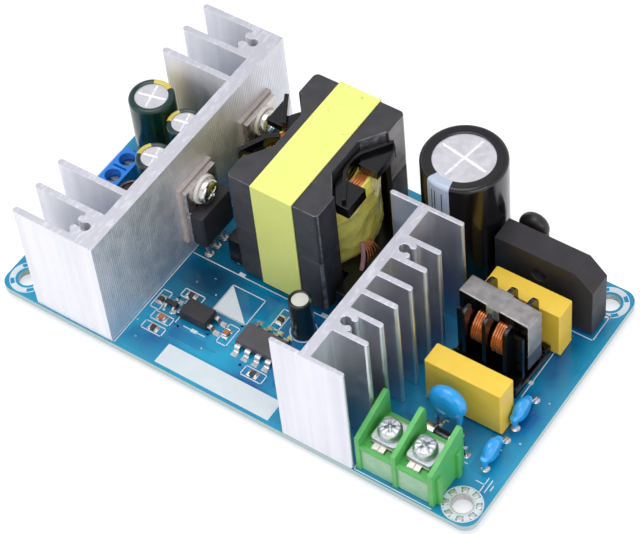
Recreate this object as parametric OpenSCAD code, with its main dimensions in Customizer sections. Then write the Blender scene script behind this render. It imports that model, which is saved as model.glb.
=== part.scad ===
// Open frame power supply: a printed circuit board that carries an extruded heatsink for the
// output rectifiers, one for the switching transistor, a tall ferrite transformer, the mains
// filter, the bulk capacitor, the output filter and a screw terminal at each end.
// Millimetres. X runs along the board, Y across it, Z up; the origin is under the board's centre.
// Places on the board are measured from its left and near edges and from its top face.

/* [Board] */
// Length of the board
board_length = 117; // [110:0.5:140]
// Width of the board
board_width = 66; // [66:0.5:90]
// Thickness of the laminate
board_thickness = 1.6; // [0.8:0.1:3.2]
// Radius of the board's corners
board_corner_r = 3; // [0.5:0.1:4]
// Diameter of the mounting holes
mount_hole_d = 4.3; // [3:0.1:4.5]
// Mounting hole centre from both edges
mount_inset = 4.5; // [4:0.1:5.5]
// Extra diameter of a drilled hole over its lead
lead_clearance = 0.3; // [0.1:0.05:0.5]
// Depth of the solder joints under the board
solder_depth = 1.5; // [0.8:0.1:2.5]
// Extra diameter of a solder joint over its lead
solder_flange = 1.3; // [0.8:0.1:1.6]

/* [Output heatsink] */
// Outer face of the base from the left edge
output_sink_x = 30.2; // [29:0.1:31]
// Gap between the heatsink's near end and the board's near edge
sink_margin = 0.3; // [0.1:0.1:1]
// Overhang of the heatsink's far end past the board's far edge
sink_overhang = 0.9; // [0.1:0.1:1.5]
// Height of the extrusion
output_sink_height = 30.1; // [28:0.1:45]
// Distance from the outer face to the fin tips
output_sink_depth = 20.2; // [17:0.1:24]
// Thickness of the base
output_base_t = 3.3; // [2.5:0.1:4]
// Thickness of each fin
output_fin_t = 1.5; // [1:0.1:2]
// Clear width between its two groups of fins
output_bay = 34.4; // [33.4:0.1:36]
// Depth of the screw channel block from the base
channel_block = 3.4; // [2.8:0.1:4.5]
// Diameter of the screw channels in both extrusions
channel_d = 2.1; // [1.6:0.1:2.4]
// Width of the slot that opens a screw channel
channel_slot = 1.1; // [0.8:0.1:1.4]
// Height of the soldered pins in the channels' feet
heatsink_pin_rise = 6; // [4:0.5:10]

/* [Primary heatsink] */
// Face that carries the transistor, from the left edge
primary_sink_x = 79.7; // [79:0.1:81]
// Length of the extrusion along Y
primary_sink_length = 43.2; // [41:0.1:43.4]
// Height of the extrusion
primary_sink_height = 31.1; // [28:0.1:45]
// Thickness of the base
primary_base_t = 2.4; // [2:0.1:3]
// Thickness of the end plates
end_plate_t = 1.1; // [0.8:0.1:1.5]
// Reach of the end plates on the transistor's side
end_plate_reach = 6.8; // [5.5:0.1:7.5]
// Length of the fins
primary_fin_length = 7.8; // [6:0.1:8.4]
// Thickness of each fin
primary_fin_t = 1.3; // [0.9:0.1:1.6]
// Distance from one fin to the next
primary_fin_pitch = 5.1; // [4.6:0.1:5.4]

/* [Power devices] */
// Width of a device's body and tab
device_width = 10.2; // [9.8:0.1:10.6]
// Depth of a device from the tab's back to the body's front
device_depth = 4.5; // [4.2:0.1:4.8]
// Height of the moulded body
device_body_height = 9.2; // [8.6:0.1:9.6]
// Height of the tab above the body
tab_rise = 6.3; // [6:0.1:6.8]
// Thickness of the tab
tab_t = 1.3; // [1:0.05:1.5]
// Centre of the tab's hole from its top
tab_hole_drop = 2.9; // [2.9:0.1:3.3]
// Diameter of the tab's hole
tab_hole_d = 3.8; // [3.6:0.1:4]
// Height of the bodies over the board
device_lift = 5.4; // [4.6:0.1:9]
// Thickness of the insulating pads
pad_t = 1; // [0.3:0.1:1.2]
// Border of a pad beyond its device
pad_border = 0.5; // [0.3:0.1:0.8]
// Distance between a device's leads
device_pitch = 2.54; // [2.4:0.02:2.6]
// Width and thickness of a device's leads
device_lead = 0.7; // [0.5:0.05:0.8]
// Near output rectifier from the heatsink's middle
rectifier_near = -1.4; // [-3:0.1:2]
// Far output rectifier from the heatsink's middle
rectifier_far = 20.4; // [17:0.1:21]
// Switching transistor from the near edge
switch_y = 21.6; // [19:0.1:24]
// Diameter of the device screws
device_screw_d = 2.9; // [2.5:0.1:2.9]
// Diameter of their pan heads
device_head_d = 5.6; // [5:0.1:6]
// Height of their pan heads
device_head_h = 1.7; // [1.4:0.1:2.1]
// Diameter of the insulating bushes
bush_d = 6.6; // [6.1:0.1:7]
// Height of a bush's flange
bush_flange_t = 0.9; // [0.8:0.1:1.6]

/* [Transformer] */
// Centre of the transformer from the left edge
transformer_x = 54.2; // [53.8:0.1:54.8]
// Centre of the transformer from the near edge
transformer_y = 44.2; // [43:0.1:45]
// Length of the core
core_length = 32; // [30:0.1:33]
// Width of the core
core_width = 21.9; // [20:0.1:22.6]
// Length of each end of the core that keeps its full width
core_end = 5.5; // [5:0.1:6]
// Height of the two core halves together
core_height = 30.3; // [28:0.1:34]
// Height of the core over the board
core_lift = 2.5; // [2:0.1:4]
// Thickness of a core half's plate
core_plate_t = 4.5; // [4:0.1:5]
// Width of the plate where it narrows at its middle
core_waist = 14; // [13.6:0.1:15]
// Length of that narrow middle
core_waist_length = 9.6; // [8:0.1:11]
// Radius of the core's upright corners
core_corner_r = 1.2; // [0.5:0.1:2]
// Diameter of the space between the outer legs
core_window_d = 27.5; // [26.6:0.1:28]
// Diameter of the centre post
core_post_d = 13.45; // [12:0.05:13.5]
// Thickness of the bobbin's walls
bobbin_wall = 1; // [0.8:0.1:1.2]
// Width of the tape around the core
core_tape_width = 10; // [6:0.5:12]
// Thickness of the tape around the core
core_tape_t = 0.3; // [0.1:0.05:0.5]
// Width of the bobbin's opening where its wires come out
wire_gap = 6; // [4:0.1:8]
// Height of the tabs on the bobbin's upper flange
tab_block = 2.9; // [2:0.1:3.4]
// Distance between the two rows of pins
pin_row_gap = 27; // [26.4:0.1:27.4]
// Distance between the pins of a row
pin_pitch = 5.08; // [4.6:0.02:5.2]

/* [Bulk capacitor] */
// Diameter of the bulk capacitor
bulk_d = 18; // [16:0.5:18]
// Height of the bulk capacitor
bulk_height = 32.2; // [25:0.1:45]
// Bulk capacitor from the left edge
bulk_x = 81.3; // [80.8:0.1:81.4]
// Bulk capacitor from the near edge
bulk_y = 56.6; // [55.5:0.1:56.8]
// Thickness of the printed sleeves
sleeve_t = 0.3; // [0.2:0.05:0.4]
// Gap between a sleeve and its can
sleeve_gap = 0.1; // [0.05:0.05:0.2]

/* [Output filter] */
// Diameter of the large output capacitor
output_cap_large_d = 10; // [8:0.1:10]
// Height of the large output capacitor
output_cap_large_height = 23.5; // [16:0.5:30]
// Diameter of the two medium output capacitors
output_cap_d = 8; // [6.3:0.1:8]
// Height of the two medium output capacitors
output_cap_height = 22; // [12:0.5:28]
// Diameter of the filter inductor
inductor_d = 6.4; // [5:0.1:6.6]
// Height of the filter inductor
inductor_height = 18; // [10:0.5:22]
// Diameter of the small supply capacitor
supply_cap_d = 5; // [4:0.1:5]
// Height of the small supply capacitor
supply_cap_height = 11; // [7:0.5:12]

/* [Mains filter] */
// Length of a film capacitor
film_length = 17.5; // [15:0.1:18]
// Thickness of a film capacitor
film_t = 5; // [4.5:0.1:5]
// Height of a film capacitor
film_height = 13.2; // [11:0.1:14.5]
// Distance between a film capacitor's leads
film_pitch = 15; // [12.5:0.5:15]
// Near film capacitor's centre from the near edge
film_near_y = 24.3; // [23.8:0.1:25]
// Far film capacitor's centre from the near edge
film_far_y = 46.8; // [46.8:0.1:47.6]
// Centre of the filter parts from the left edge
filter_x = 101.9; // [101:0.1:102.2]
// Length of the choke's core
choke_length = 16.8; // [15:0.1:17.4]
// Height of the choke's core loop
choke_core_height = 9.8; // [9.4:0.1:11]
// Thickness of the choke's core across the board
choke_core_t = 4.9; // [4:0.1:5.4]
// Thickness of the choke core's legs
choke_leg = 2.9; // [2.4:0.1:3]
// Top of the choke's core over the board
choke_top = 18.8; // [16.6:0.1:19]
// Centre of the choke from the near edge
choke_y = 37.7; // [36.8:0.1:37.7]
// Width of the choke's base across the board
choke_base_width = 12.9; // [11.6:0.1:13]
// Length of the choke's base
choke_base_length = 16.2; // [15:0.1:17]
// Thickness of the choke's flanges
choke_flange_t = 0.9; // [0.7:0.05:1.2]
// Outer diameter of the choke's two coils
choke_coil_d = 10; // [8:0.1:10.4]

/* [Bridge rectifier] */
// Width of the bridge rectifier
bridge_width = 22.8; // [21:0.1:23]
// Thickness of the bridge rectifier
bridge_t = 5.8; // [3.5:0.1:6]
// Height of the bridge rectifier
bridge_height = 18.1; // [16:0.1:20]
// Bevel of its marked upper corner
bridge_bevel = 3.9; // [2:0.1:4.5]
// Diameter of its screw hole
bridge_hole_d = 3.4; // [3:0.1:4]
// Height of that hole over the board
bridge_hole_z = 12.2; // [11:0.1:13]
// Distance of that hole from the middle, away from the bevel
bridge_hole_shift = 1.1; // [0:0.1:2]
// Centre of the bridge rectifier from the left edge
bridge_x = 102.3; // [102.2:0.1:102.6]
// Centre of the bridge rectifier from the near edge
bridge_y = 54.8; // [53.5:0.1:55.4]

/* [Discs and fuse] */
// Diameter of the varistor
varistor_d = 8.4; // [6:0.1:9]
// Thickness of the varistor
varistor_t = 3.6; // [2.6:0.1:4]
// Varistor from the near edge
varistor_y = 18; // [17.6:0.1:18.4]
// Diameter of the two safety capacitors
safety_cap_d = 5.4; // [4:0.1:6]
// Thickness of the two safety capacitors
safety_cap_t = 2.6; // [2:0.1:3]
// Distance between a safety capacitor's leads
safety_cap_pitch = 7.8; // [7:0.1:8]
// Diameter of the inrush thermistor
thermistor_d = 6.8; // [6:0.1:9]
// Thickness of the inrush thermistor
thermistor_t = 3.6; // [3:0.1:4]
// Diameter of the snubber capacitor
snubber_d = 7; // [5:0.1:7.5]
// Thickness of the snubber capacitor
snubber_t = 2.8; // [2:0.1:3.2]
// Diameter of the fuse's caps
fuse_d = 3.2; // [2.4:0.1:3.4]
// Length of the fuse
fuse_length = 8.4; // [7:0.1:9]

/* [Input terminal] */
// Distance from one wire place to the next
input_pitch = 8.1; // [7.6:0.1:8.2]
// Depth of the terminal from its front
input_depth = 11.4; // [10.5:0.1:11.6]
// Height of the barriers at their back
input_barrier_height = 14; // [12.5:0.1:16]
// Height of the deck that the screws stand on
input_deck_height = 7.6; // [6:0.1:8.5]
// Thickness of the barriers
input_barrier_t = 1.6; // [1.2:0.1:1.8]
// Front of the terminal from the near edge
input_front = 0.8; // [0.3:0.1:1]
// Left face of the terminal from the left edge
input_left = 90.4; // [90.3:0.1:90.6]
// Diameter of the input terminal's screw heads
input_head_d = 5.4; // [4:0.1:5.8]
// Height of those screw heads
input_head_h = 2; // [1.6:0.1:2.4]
// Width of the clamping plates
input_plate_width = 5.4; // [5:0.1:5.8]
// Length of the clamping plates
input_plate_length = 8.3; // [7.6:0.1:8.4]
// Thickness of the clamping plates
input_plate_t = 0.8; // [0.6:0.1:1]
// Side of the square washers
input_washer_side = 5.9; // [5:0.1:6.1]
// Thickness of the square washers
input_washer_t = 0.9; // [0.6:0.1:1.2]
// Diameter of the terminal screws' shanks
input_screw_d = 3; // [2.5:0.1:3]

/* [Output terminal] */
// Distance from one wire place to the next
output_pitch = 5.08; // [5:0.02:5.2]
// Depth of the terminal block
output_terminal_depth = 7.6; // [7:0.1:8]
// Height of the terminal block
output_terminal_height = 10; // [8.5:0.1:12]
// Depth of the block's flat top
output_terminal_top = 5; // [4.6:0.1:5.4]
// Front of the block from the left edge
output_terminal_x = 4; // [3.2:0.1:4.2]
// Diameter of the holes over its screws
output_screw_hole_d = 3.5; // [3:0.1:3.8]

/* [Surface parts] */
// Length of the controller's body
controller_length = 9.6; // [9:0.1:10]
// Width of the controller's body
controller_width = 5.6; // [5:0.1:6]
// Height of the controller's body
controller_height = 1.9; // [1.4:0.1:2.4]
// Tip of the controller's leads from its middle
controller_tip = 5.1; // [4.2:0.1:5.1]
// Length and width of the optocoupler's body
opto_length = 5.6; // [4.6:0.1:6]
// Width of the optocoupler's body across its leads
opto_width = 3.4; // [3:0.1:4]
// Tip of the optocoupler's leads from its middle
opto_tip = 5.8; // [4.2:0.1:6]
// Length of a chip part
chip_length = 2; // [1.6:0.1:2.2]
// Width of a chip part
chip_width = 1.25; // [0.8:0.05:1.4]

/* [Hidden] */
$fn = 64;
eps = 0.01;
board_top = solder_depth + board_thickness;
middle_y = (board_width + sink_overhang)/2;                   // of the board and its overhang
running_gap = 0.3;
rim_gap = 0.05;

// ---- places ------------------------------------------------------------------------------

sink_length = board_width - sink_margin + sink_overhang;
sink_mid = sink_margin + sink_length/2;
output_fin_pitch = (sink_length - output_bay - 2*output_fin_t)/4;
output_fin_steps = [for (k = [0:2]) k*output_fin_pitch];
output_channel_y = output_fin_t/2 + output_fin_pitch/2;       // from the extrusion's end
primary_mid = primary_sink_length/2;
primary_fin_offsets = [for (k = [-2.5:1:2.5]) k*primary_fin_pitch];
output_channel_x = output_sink_x - output_base_t - channel_d/2 - 0.4;
primary_channel_x = primary_sink_x + primary_base_t + channel_d/2;
heatsink_pin_d = channel_d - lead_clearance;
heatsink_pin_points = [
    for (s = [-1, 1]) [output_channel_x, sink_mid + s*(sink_length/2 - output_channel_y)],
    for (s = [-2, 2]) [primary_channel_x, primary_mid + s*primary_fin_pitch]];

device_lead_x = pad_t + tab_t + 1.3;                          // from the heatsink's face
tab_top = device_lift + device_body_height + tab_rise;
device_hole_z = tab_top - tab_hole_drop;
device_seats = [[output_sink_x, sink_mid + rectifier_near, 1],
                [output_sink_x, sink_mid + rectifier_far, 1],
                [primary_sink_x, switch_y, -1]];
device_points = [for (s = device_seats) for (k = [-1:1])
    [s[0] + s[2]*device_lead_x, s[1] + k*device_pitch]];

core_half = core_height/2;
flange_r = core_window_d/2 - running_gap;
tube_r = core_post_d/2 + running_gap + bobbin_wall;
lower_flange_z = core_lift + core_plate_t + 0.2;
upper_flange_z = core_lift + core_height - core_plate_t - 0.2 - bobbin_wall;
coil_r = flange_r - 0.9;
transformer_pin_d = 1;
wing_width = 18;
transformer_points = [for (s = [-1, 1]) for (k = [-2.5:1:2.5])
    [transformer_x + s*pin_row_gap/2, transformer_y + k*pin_pitch]];

cap_lead_d = 0.8;
// each: [x, y, diameter, height, lead pitch]
output_axis = sink_mid - 0.6;                                 // middle of the output terminal
output_caps = [[11.4, output_axis + 11, output_cap_large_d, output_cap_large_height, 5],
               [21, output_axis + 9.6, output_cap_d, output_cap_height, 3.5],
               [21.1, output_axis - 1.3, output_cap_d, output_cap_height, 3.5]];
inductor_place = [20.4, output_axis - 8.9];
supply_place = [62.6, 23];
bulk_points = [for (s = [-1, 1]) [bulk_x + s*3.75, bulk_y]];
small_cap_points = concat(
    [for (c = output_caps) for (s = [-1, 1]) [c[0], c[1] + s*c[4]/2]],
    [for (s = [-1, 1]) [inductor_place[0], inductor_place[1] + s*1.5]],
    [for (s = [-1, 1]) [supply_place[0] + s, supply_place[1]]]);

film_points = [for (y = [film_near_y, film_far_y]) for (s = [-1, 1])
    [filter_x + s*film_pitch/2, y]];
choke_x = filter_x - 1.3;
choke_points = [for (s = [-1, 1]) for (t = [-1, 1])
    [choke_x + s*(choke_base_length/2 - 1.6), choke_y + t*(choke_base_width/2 - 1.2)]];
bridge_points = [for (k = [-1.5:1:1.5]) [bridge_x + k*5.08, bridge_y]];

varistor_x = 101;
varistor_z = 5.2 + varistor_d/2;
disc_half_pitch = 2.5;
varistor_points = [for (s = [-1, 1]) [varistor_x + s*disc_half_pitch, varistor_y]];
safety_x = 112;
safety_ys = [28.9, 17.7];
safety_shift = 1.6;                                           // of the discs, toward the near holes
safety_points = [for (y = safety_ys) for (s = [-1, 1]) [safety_x, y + s*safety_cap_pitch/2]];
thermistor_place = [94.8, 61];
thermistor_z = 17.7 - thermistor_d/2;
thermistor_points = [for (s = [-1, 1])
    [thermistor_place[0] + s*disc_half_pitch, thermistor_place[1]]];
snubber_place = [69.6, 62];
snubber_points = [for (s = [-1, 1])
    [snubber_place[0], snubber_place[1] + s*disc_half_pitch]];
snubber_z = 15.5 - snubber_d/2;
fuse_place = [101.6, 14.6];
fuse_z = fuse_d/2 + 0.4;
fuse_lead_reach = 1.2;
fuse_points = [for (s = [-1, 1])
    [fuse_place[0] + s*(fuse_length/2 + fuse_lead_reach), fuse_place[1]]];

input_bays = [for (k = [0.5:1:1.5]) input_left + input_barrier_t/2 + k*input_pitch];
input_screw_y = input_front + 5.5;
input_points = [for (x = input_bays) [x, input_screw_y + 3.4]];
output_terminal_y = output_axis;
output_bays = [for (s = [-0.5, 0.5]) output_terminal_y + s*output_pitch];
output_screw_x = output_terminal_x + output_terminal_depth - output_terminal_top/2;
output_points = [for (y = output_bays) [output_screw_x, y]];

// every hole that is drilled for a lead: [x, y, lead diameter]
function sized(points, d) = [for (p = points) [p[0], p[1], d]];
leads = concat(sized(heatsink_pin_points, heatsink_pin_d), sized(device_points, 1),
               sized(transformer_points, transformer_pin_d), sized(bulk_points, 1),
               sized(small_cap_points, cap_lead_d), sized(film_points, cap_lead_d),
               sized(choke_points, cap_lead_d), sized(bridge_points, 1.2),
               sized(varistor_points, cap_lead_d), sized(safety_points, cap_lead_d),
               sized(thermistor_points, cap_lead_d), sized(snubber_points, cap_lead_d),
               sized(fuse_points, cap_lead_d), sized(input_points, 1.4),
               sized(output_points, 1.1));

// ---- shared shapes -----------------------------------------------------------------------

module on_board(x, y, z = 0)
    translate([x - board_length/2, y - middle_y, board_top + z]) children();

// A rectangle with rounded corners, centred.
module rounded(l, w, r) {
    square([l - 2*r, w], center = true);
    square([l, w - 2*r], center = true);
    for (x = [-1, 1]) for (y = [-1, 1])
        translate([x*(l/2 - r), y*(w/2 - r)]) circle(r);
}

// A wall that stands from y = 0 to y = h with a rounded tip.
module fin(t, h) {
    translate([-t/2, 0]) square([t, h - t/2]);
    translate([0, h - t/2]) circle(t/2);
}

// A lead from the underside of the board up to a height over its top face.
module lead(p, d, top = 0)
    on_board(p[0], p[1], -board_thickness) cylinder(d = d, h = board_thickness + top);

// A straight round wire between two points over the board.
module wire(a, b, d) {
    v = b - a;
    on_board(a[0], a[1], a[2])
        rotate([0, acos(v[2]/norm(v)), atan2(v[1], v[0])]) cylinder(d = d, h = norm(v));
}

// A standing disc's two wires end just under its rim.
module rim_leads(points, half_pitch, z, d)
    for (p = points)
        lead(p, cap_lead_d, z - sqrt(d*d/4 - pow(half_pitch - cap_lead_d/2, 2)) - rim_gap);

// Half section of a capacitor sleeve: rolled top edge and the crimp groove near its foot.
module sleeve_section(d, h, wall) {
    r = d/2;
    bend = min(0.9, d/12);
    difference() {
        union() {
            square([r, h - bend]);
            square([r - bend, h]);
            translate([r - bend, h - bend]) circle(bend);
        }
        translate([r + 0.65, d/6]) circle(0.8);
    }
}

module capacitor_sleeve(d, h)
    difference() {
        rotate_extrude() sleeve_section(d, h, sleeve_t);
        translate([0, 0, -eps]) cylinder(d = can_diameter(d) + 2*sleeve_gap, h = h - sleeve_t);
        translate([0, 0, h - 1]) cylinder(d = can_face(d), h = 2);
    }

function can_diameter(d) = d - 1.6*max(sleeve_t, 0.3) - 2*sleeve_gap;
function can_face(d) = d*0.72;

// The aluminium can: a plain drum whose top carries the safety vent's cross.
module capacitor_can(d, h, vent = 12) {
    body = h - sleeve_t - sleeve_gap;
    difference() {
        cylinder(d = can_diameter(d), h = body);
        for (a = [0, 90]) rotate(a + vent) translate([0, 0, body])
            rotate([0, 45, 0]) cube([0.3, can_face(d)*0.86, 0.3], center = true);
    }
}

// ---- board -------------------------------------------------------------------------------

module board() color("#0f7ea8")
    on_board(0, 0, -board_thickness) linear_extrude(board_thickness) difference() {
        translate([board_length/2, board_width/2])
            rounded(board_length, board_width, board_corner_r);
        for (x = [mount_inset, board_length - mount_inset])
            for (y = [mount_inset, board_width - mount_inset])
                translate([x, y]) circle(d = mount_hole_d);
        for (p = leads) translate([p[0], p[1]]) circle(d = p[2] + lead_clearance);
    }

module solder_joints() color("#c9ccd0")
    for (p = leads) on_board(p[0], p[1], -board_top)
        cylinder(d1 = p[2]*0.8, d2 = p[2] + solder_flange, h = solder_depth);

// ---- heatsinks ---------------------------------------------------------------------------

// A round screw channel that opens through a narrow slot toward +Y.
module channel() {
    circle(d = channel_d);
    translate([-channel_slot/2, 0]) square([channel_slot, channel_d + channel_block]);
}

// The output extrusion's section: X along the base, Y from its outer face to the fin tips.
module output_section() {
    half = sink_length/2;
    difference() {
        union() {
            translate([-half, 0]) square([sink_length, output_base_t]);
            for (s = [-1, 1]) {
                for (step = output_fin_steps)
                    translate([s*(half - output_fin_t/2 - step), 0])
                        fin(output_fin_t, output_sink_depth);
                translate([s*(half - output_channel_y) - output_fin_pitch/2, 0])
                    square([output_fin_pitch, output_base_t + channel_block]);
                for (t = [-1, 1])
                    translate([s*(half - output_channel_y) + t*(channel_slot/2 + 0.8),
                               output_base_t + channel_block]) circle(0.8);
            }
        }
        for (s = [-1, 1])
            translate([s*(half - output_channel_y), output_sink_x - output_channel_x]) channel();
    }
}

module screw_bores(seats, depth)
    for (s = seats) on_board(s[0], s[1], device_hole_z)
        rotate([0, -90*s[2], 0]) translate([0, 0, -eps])
            cylinder(d = device_screw_d + lead_clearance, h = depth + 2*eps);

module output_heatsink() color("#d5d6dc")
    difference() {
        on_board(output_sink_x, sink_mid) rotate(90)
            linear_extrude(output_sink_height) output_section();
        screw_bores([device_seats[0], device_seats[1]], output_base_t);
    }

// The primary extrusion's section: X along the base, Y from the transistor's face to the tips.
module primary_section() {
    half = primary_sink_length/2;
    reach = primary_base_t + primary_fin_length;
    difference() {
        union() {
            translate([-half, 0]) square([primary_sink_length, primary_base_t]);
            for (s = [-1, 1]) translate([s*(half - end_plate_t/2), 0]) {
                fin(end_plate_t, reach);
                mirror([0, 1]) fin(end_plate_t, end_plate_reach);
            }
            for (o = primary_fin_offsets) translate([o, 0]) fin(primary_fin_t, reach);
            for (s = [-2, 2]) translate([s*primary_fin_pitch, 0]) {
                translate([-primary_fin_pitch/2, 0])
                    square([primary_fin_pitch, primary_base_t + channel_d + 0.2]);
                for (t = [-1, 1])
                    translate([t*(channel_slot/2 + 0.7), primary_base_t + channel_d + 0.2])
                        circle(0.7);
            }
        }
        for (s = [-2, 2]) translate([s*primary_fin_pitch, primary_channel_x - primary_sink_x])
            channel();
    }
}

module primary_heatsink() color("#d5d6dc")
    difference() {
        on_board(primary_sink_x, primary_mid) rotate(-90)
            linear_extrude(primary_sink_height) primary_section();
        screw_bores([device_seats[2]], primary_base_t);
    }

// Tinned posts pressed into the feet of the screw channels and soldered below.
module heatsink_pins() color("#c8c8c8")
    for (p = heatsink_pin_points) lead(p, heatsink_pin_d, heatsink_pin_rise);

// ---- power devices -----------------------------------------------------------------------

// Puts a shape drawn with X away from the heatsink, Y across and Z up on each seat.
module on_seats(start = 0)
    for (s = device_seats) on_board(s[0], s[1]) rotate(s[2] > 0 ? 0 : 180)
        translate([start, 0, 0]) children();

module across(z, d, h) translate([0, 0, z]) rotate([0, 90, 0]) cylinder(d = d, h = h);

module insulating_pads() color("#b9b4b0")
    on_seats() difference() {
        translate([0, -device_width/2 - pad_border, device_lift - pad_border])
            cube([pad_t, device_width + 2*pad_border,
                  device_body_height + tab_rise + 2*pad_border]);
        translate([-eps, 0, 0]) across(device_hole_z, tab_hole_d, pad_t + 2*eps);
    }

module device_bodies() color("#1b1b1d")
    on_seats(pad_t + tab_t) translate([0, 0, device_lift])
        linear_extrude(device_body_height) polygon([
            [0, -device_width/2], [device_depth - tab_t - 0.6, -device_width/2],
            [device_depth - tab_t, -device_width/2 + 0.4],
            [device_depth - tab_t, device_width/2 - 0.4],
            [device_depth - tab_t - 0.6, device_width/2], [0, device_width/2]]);

module device_frames() color("#c5c0ba") {
    on_seats(pad_t) difference() {
        translate([0, -device_width/2, device_lift])
            cube([tab_t, device_width, device_body_height + tab_rise]);
        translate([-eps, 0, 0]) across(device_hole_z, tab_hole_d, tab_t + 2*eps);
        for (s = [-1, 1]) translate([-eps, s*device_width/2 - 0.6, device_hole_z - 4.4])
            cube([tab_t + 2*eps, 1.2, 1.2]);
    }
    for (p = device_points) on_board(p[0], p[1], -board_thickness) {
        translate([-device_lead/2, -device_lead/2, 0])
            cube([device_lead, device_lead, board_thickness + device_lift]);
        translate([-device_lead/2, -0.65, board_thickness + 1.6])
            cube([device_lead, 1.3, device_lift - 1.6]);
    }
}

// Shoulder bushes that keep the screws off the tabs.
module insulating_bushes() color("#e9e6df")
    on_seats(pad_t + tab_t) difference() {
        union() {
            across(device_hole_z, bush_d, bush_flange_t);
            translate([-tab_t, 0, 0]) across(device_hole_z, tab_hole_d - 0.2, tab_t + eps);
        }
        translate([-tab_t - eps, 0, 0])
            across(device_hole_z, device_screw_d + 0.2, tab_t + bush_flange_t + 1);
    }

module pan_head(d, h) rotate_extrude() intersection() {
    square([d/2, h]);
    translate([0, h - d*0.85]) circle(d*0.85);
}

module device_screws() color("#cfc9bd")
    on_seats(pad_t + tab_t + bush_flange_t) translate([0, 0, device_hole_z])
        rotate([0, 90, 0]) {
            pan_head(device_head_d, device_head_h);
            reach = pad_t + tab_t + bush_flange_t + primary_base_t;
            translate([0, 0, -reach]) cylinder(d = device_screw_d, h = reach + eps);
        }

// ---- transformer -------------------------------------------------------------------------

module at_transformer(z = 0) on_board(transformer_x, transformer_y, z) children();

// The plate of a core half, narrowed at the middle where the winding shows.
module core_plate() difference() {
    rounded(core_width, core_length, core_corner_r);
    for (s = [-1, 1]) polygon([
        for (t = [-1, 1]) each let (
            outer = [s*core_width/2, t*(core_length/2 - core_end)],
            inner = [s*core_waist/2, t*core_waist_length/2],
            beyond = outer + [s, 0]) t < 0 ? [beyond, outer, inner] : [inner, outer, beyond]]);
}

module core_part() {
    linear_extrude(core_plate_t) core_plate();
    linear_extrude(core_half) difference() {
        rounded(core_width, core_length, core_corner_r);
        square([core_width + 1, core_waist_length*2], center = true);
        circle(d = core_window_d);
    }
    cylinder(d = core_post_d, h = core_half);
}

module core_lower() color("#3c3c40") at_transformer(core_lift) core_part();

module core_upper() color("#3c3c40")
    at_transformer(core_lift + core_height) mirror([0, 0, 1]) core_part();

// The lower flange: a disc between the legs with a wing to each pin rail.
module lower_flange() {
    circle(flange_r);
    square([pin_row_gap + 2.4, wing_width], center = true);
}

// The upper flange: a disc that is open at both sides, where the wires come out.
module upper_flange() difference() {
    circle(flange_r);
    for (s = [-1, 1]) translate([s*(core_waist/2 + 7.5), 0]) square([14, wire_gap], center = true);
}

// Tabs on the upper flange, on the bulk capacitor's side: each with a rib toward the core.
module right_tabs() {
    linear_extrude(tab_block) {
        polygon([[8.2, -wire_gap/2], [7.7, -4.9], [10.6, -9.3], [13.7, -9.3],
                 [13.7, -wire_gap/2]]);
        polygon([[8.2, wire_gap/2], [12.3, wire_gap/2], [12.9, 9.2], [11.3, 10.7], [11.2, 10.2]]);
    }
    linear_extrude(tab_block + 0.9) {
        polygon([[7.6, -2], [8.5, -2], [8.5, -4.6], [11.4, -9.1], [10.7, -9.3], [7.7, -4.9]]);
        polygon([[7.6, 4.6], [8.4, 4.1], [12.2, 9.6], [11.4, 10.3]]);
    }
}

// Slanted walls on the other side, one with a lower tab beside it.
module left_tabs() {
    linear_extrude(tab_block) {
        polygon([[-14.9, -7.4], [-14, -7.9], [-11, -1.9], [-9, -0.4], [-9.4, 0.6], [-11.7, -0.8]]);
        polygon([[-11, wire_gap/2], [-10, 3.4], [-14, 10.3], [-14.9, 9.9]]);
    }
    linear_extrude(tab_block - 1.2)
        polygon([[-14.7, wire_gap/2], [-10.6, wire_gap/2], [-14.4, 9.6], [-14.7, 9.2]]);
}

module transformer_bobbin() color("#17171a") at_transformer() difference() {
    union() {
        translate([0, 0, lower_flange_z]) linear_extrude(bobbin_wall) lower_flange();
        translate([0, 0, upper_flange_z]) {
            linear_extrude(bobbin_wall) upper_flange();
            right_tabs();
            left_tabs();
        }
        translate([0, 0, lower_flange_z])
            cylinder(r = tube_r, h = upper_flange_z + bobbin_wall - lower_flange_z);
        // pin rails with their standing feet
        for (s = [-1, 1]) translate([s*pin_row_gap/2, 0, 0]) {
            translate([-1.5, -2.8*pin_pitch, 1]) cube([3, 5.6*pin_pitch, lower_flange_z]);
            for (k = [-2:1:2]) translate([-1.5, (k - 0.2)*pin_pitch, 0])
                cube([3, 0.4*pin_pitch, 1 + eps]);
        }
    }
    translate([0, 0, lower_flange_z - eps])
        cylinder(d = core_post_d + 2*running_gap, h = upper_flange_z);
    for (s = [-1, 1]) for (k = [-2.5:1:2.5])
        translate([s*pin_row_gap/2, k*pin_pitch, -eps])
            cylinder(d = transformer_pin_d, h = 4 + eps);
}

module transformer_coil() color("#cfc94a")
    at_transformer(lower_flange_z + bobbin_wall) difference() {
        cylinder(r = coil_r, h = upper_flange_z - lower_flange_z - bobbin_wall);
        translate([0, 0, -eps]) cylinder(r = tube_r + 0.1, h = core_height);
    }

module transformer_tape() color("#eef08a")
    at_transformer(core_lift) translate([-core_tape_width/2, 0, core_height/2])
        difference() {
            translate([0, -core_length/2 - core_tape_t, -core_height/2 - core_tape_t])
                cube([core_tape_width, core_length + 2*core_tape_t, core_height + 2*core_tape_t]);
            translate([-eps, -core_length/2, -core_height/2])
                cube([core_tape_width + 2*eps, core_length, core_height]);
        }

module transformer_pins() color("#c8c8c8")
    for (p = transformer_points) lead(p, transformer_pin_d, 4);

// ---- capacitors --------------------------------------------------------------------------

module bulk_capacitor_sleeve() color("#1a1716")
    on_board(bulk_x, bulk_y) capacitor_sleeve(bulk_d, bulk_height);

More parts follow.
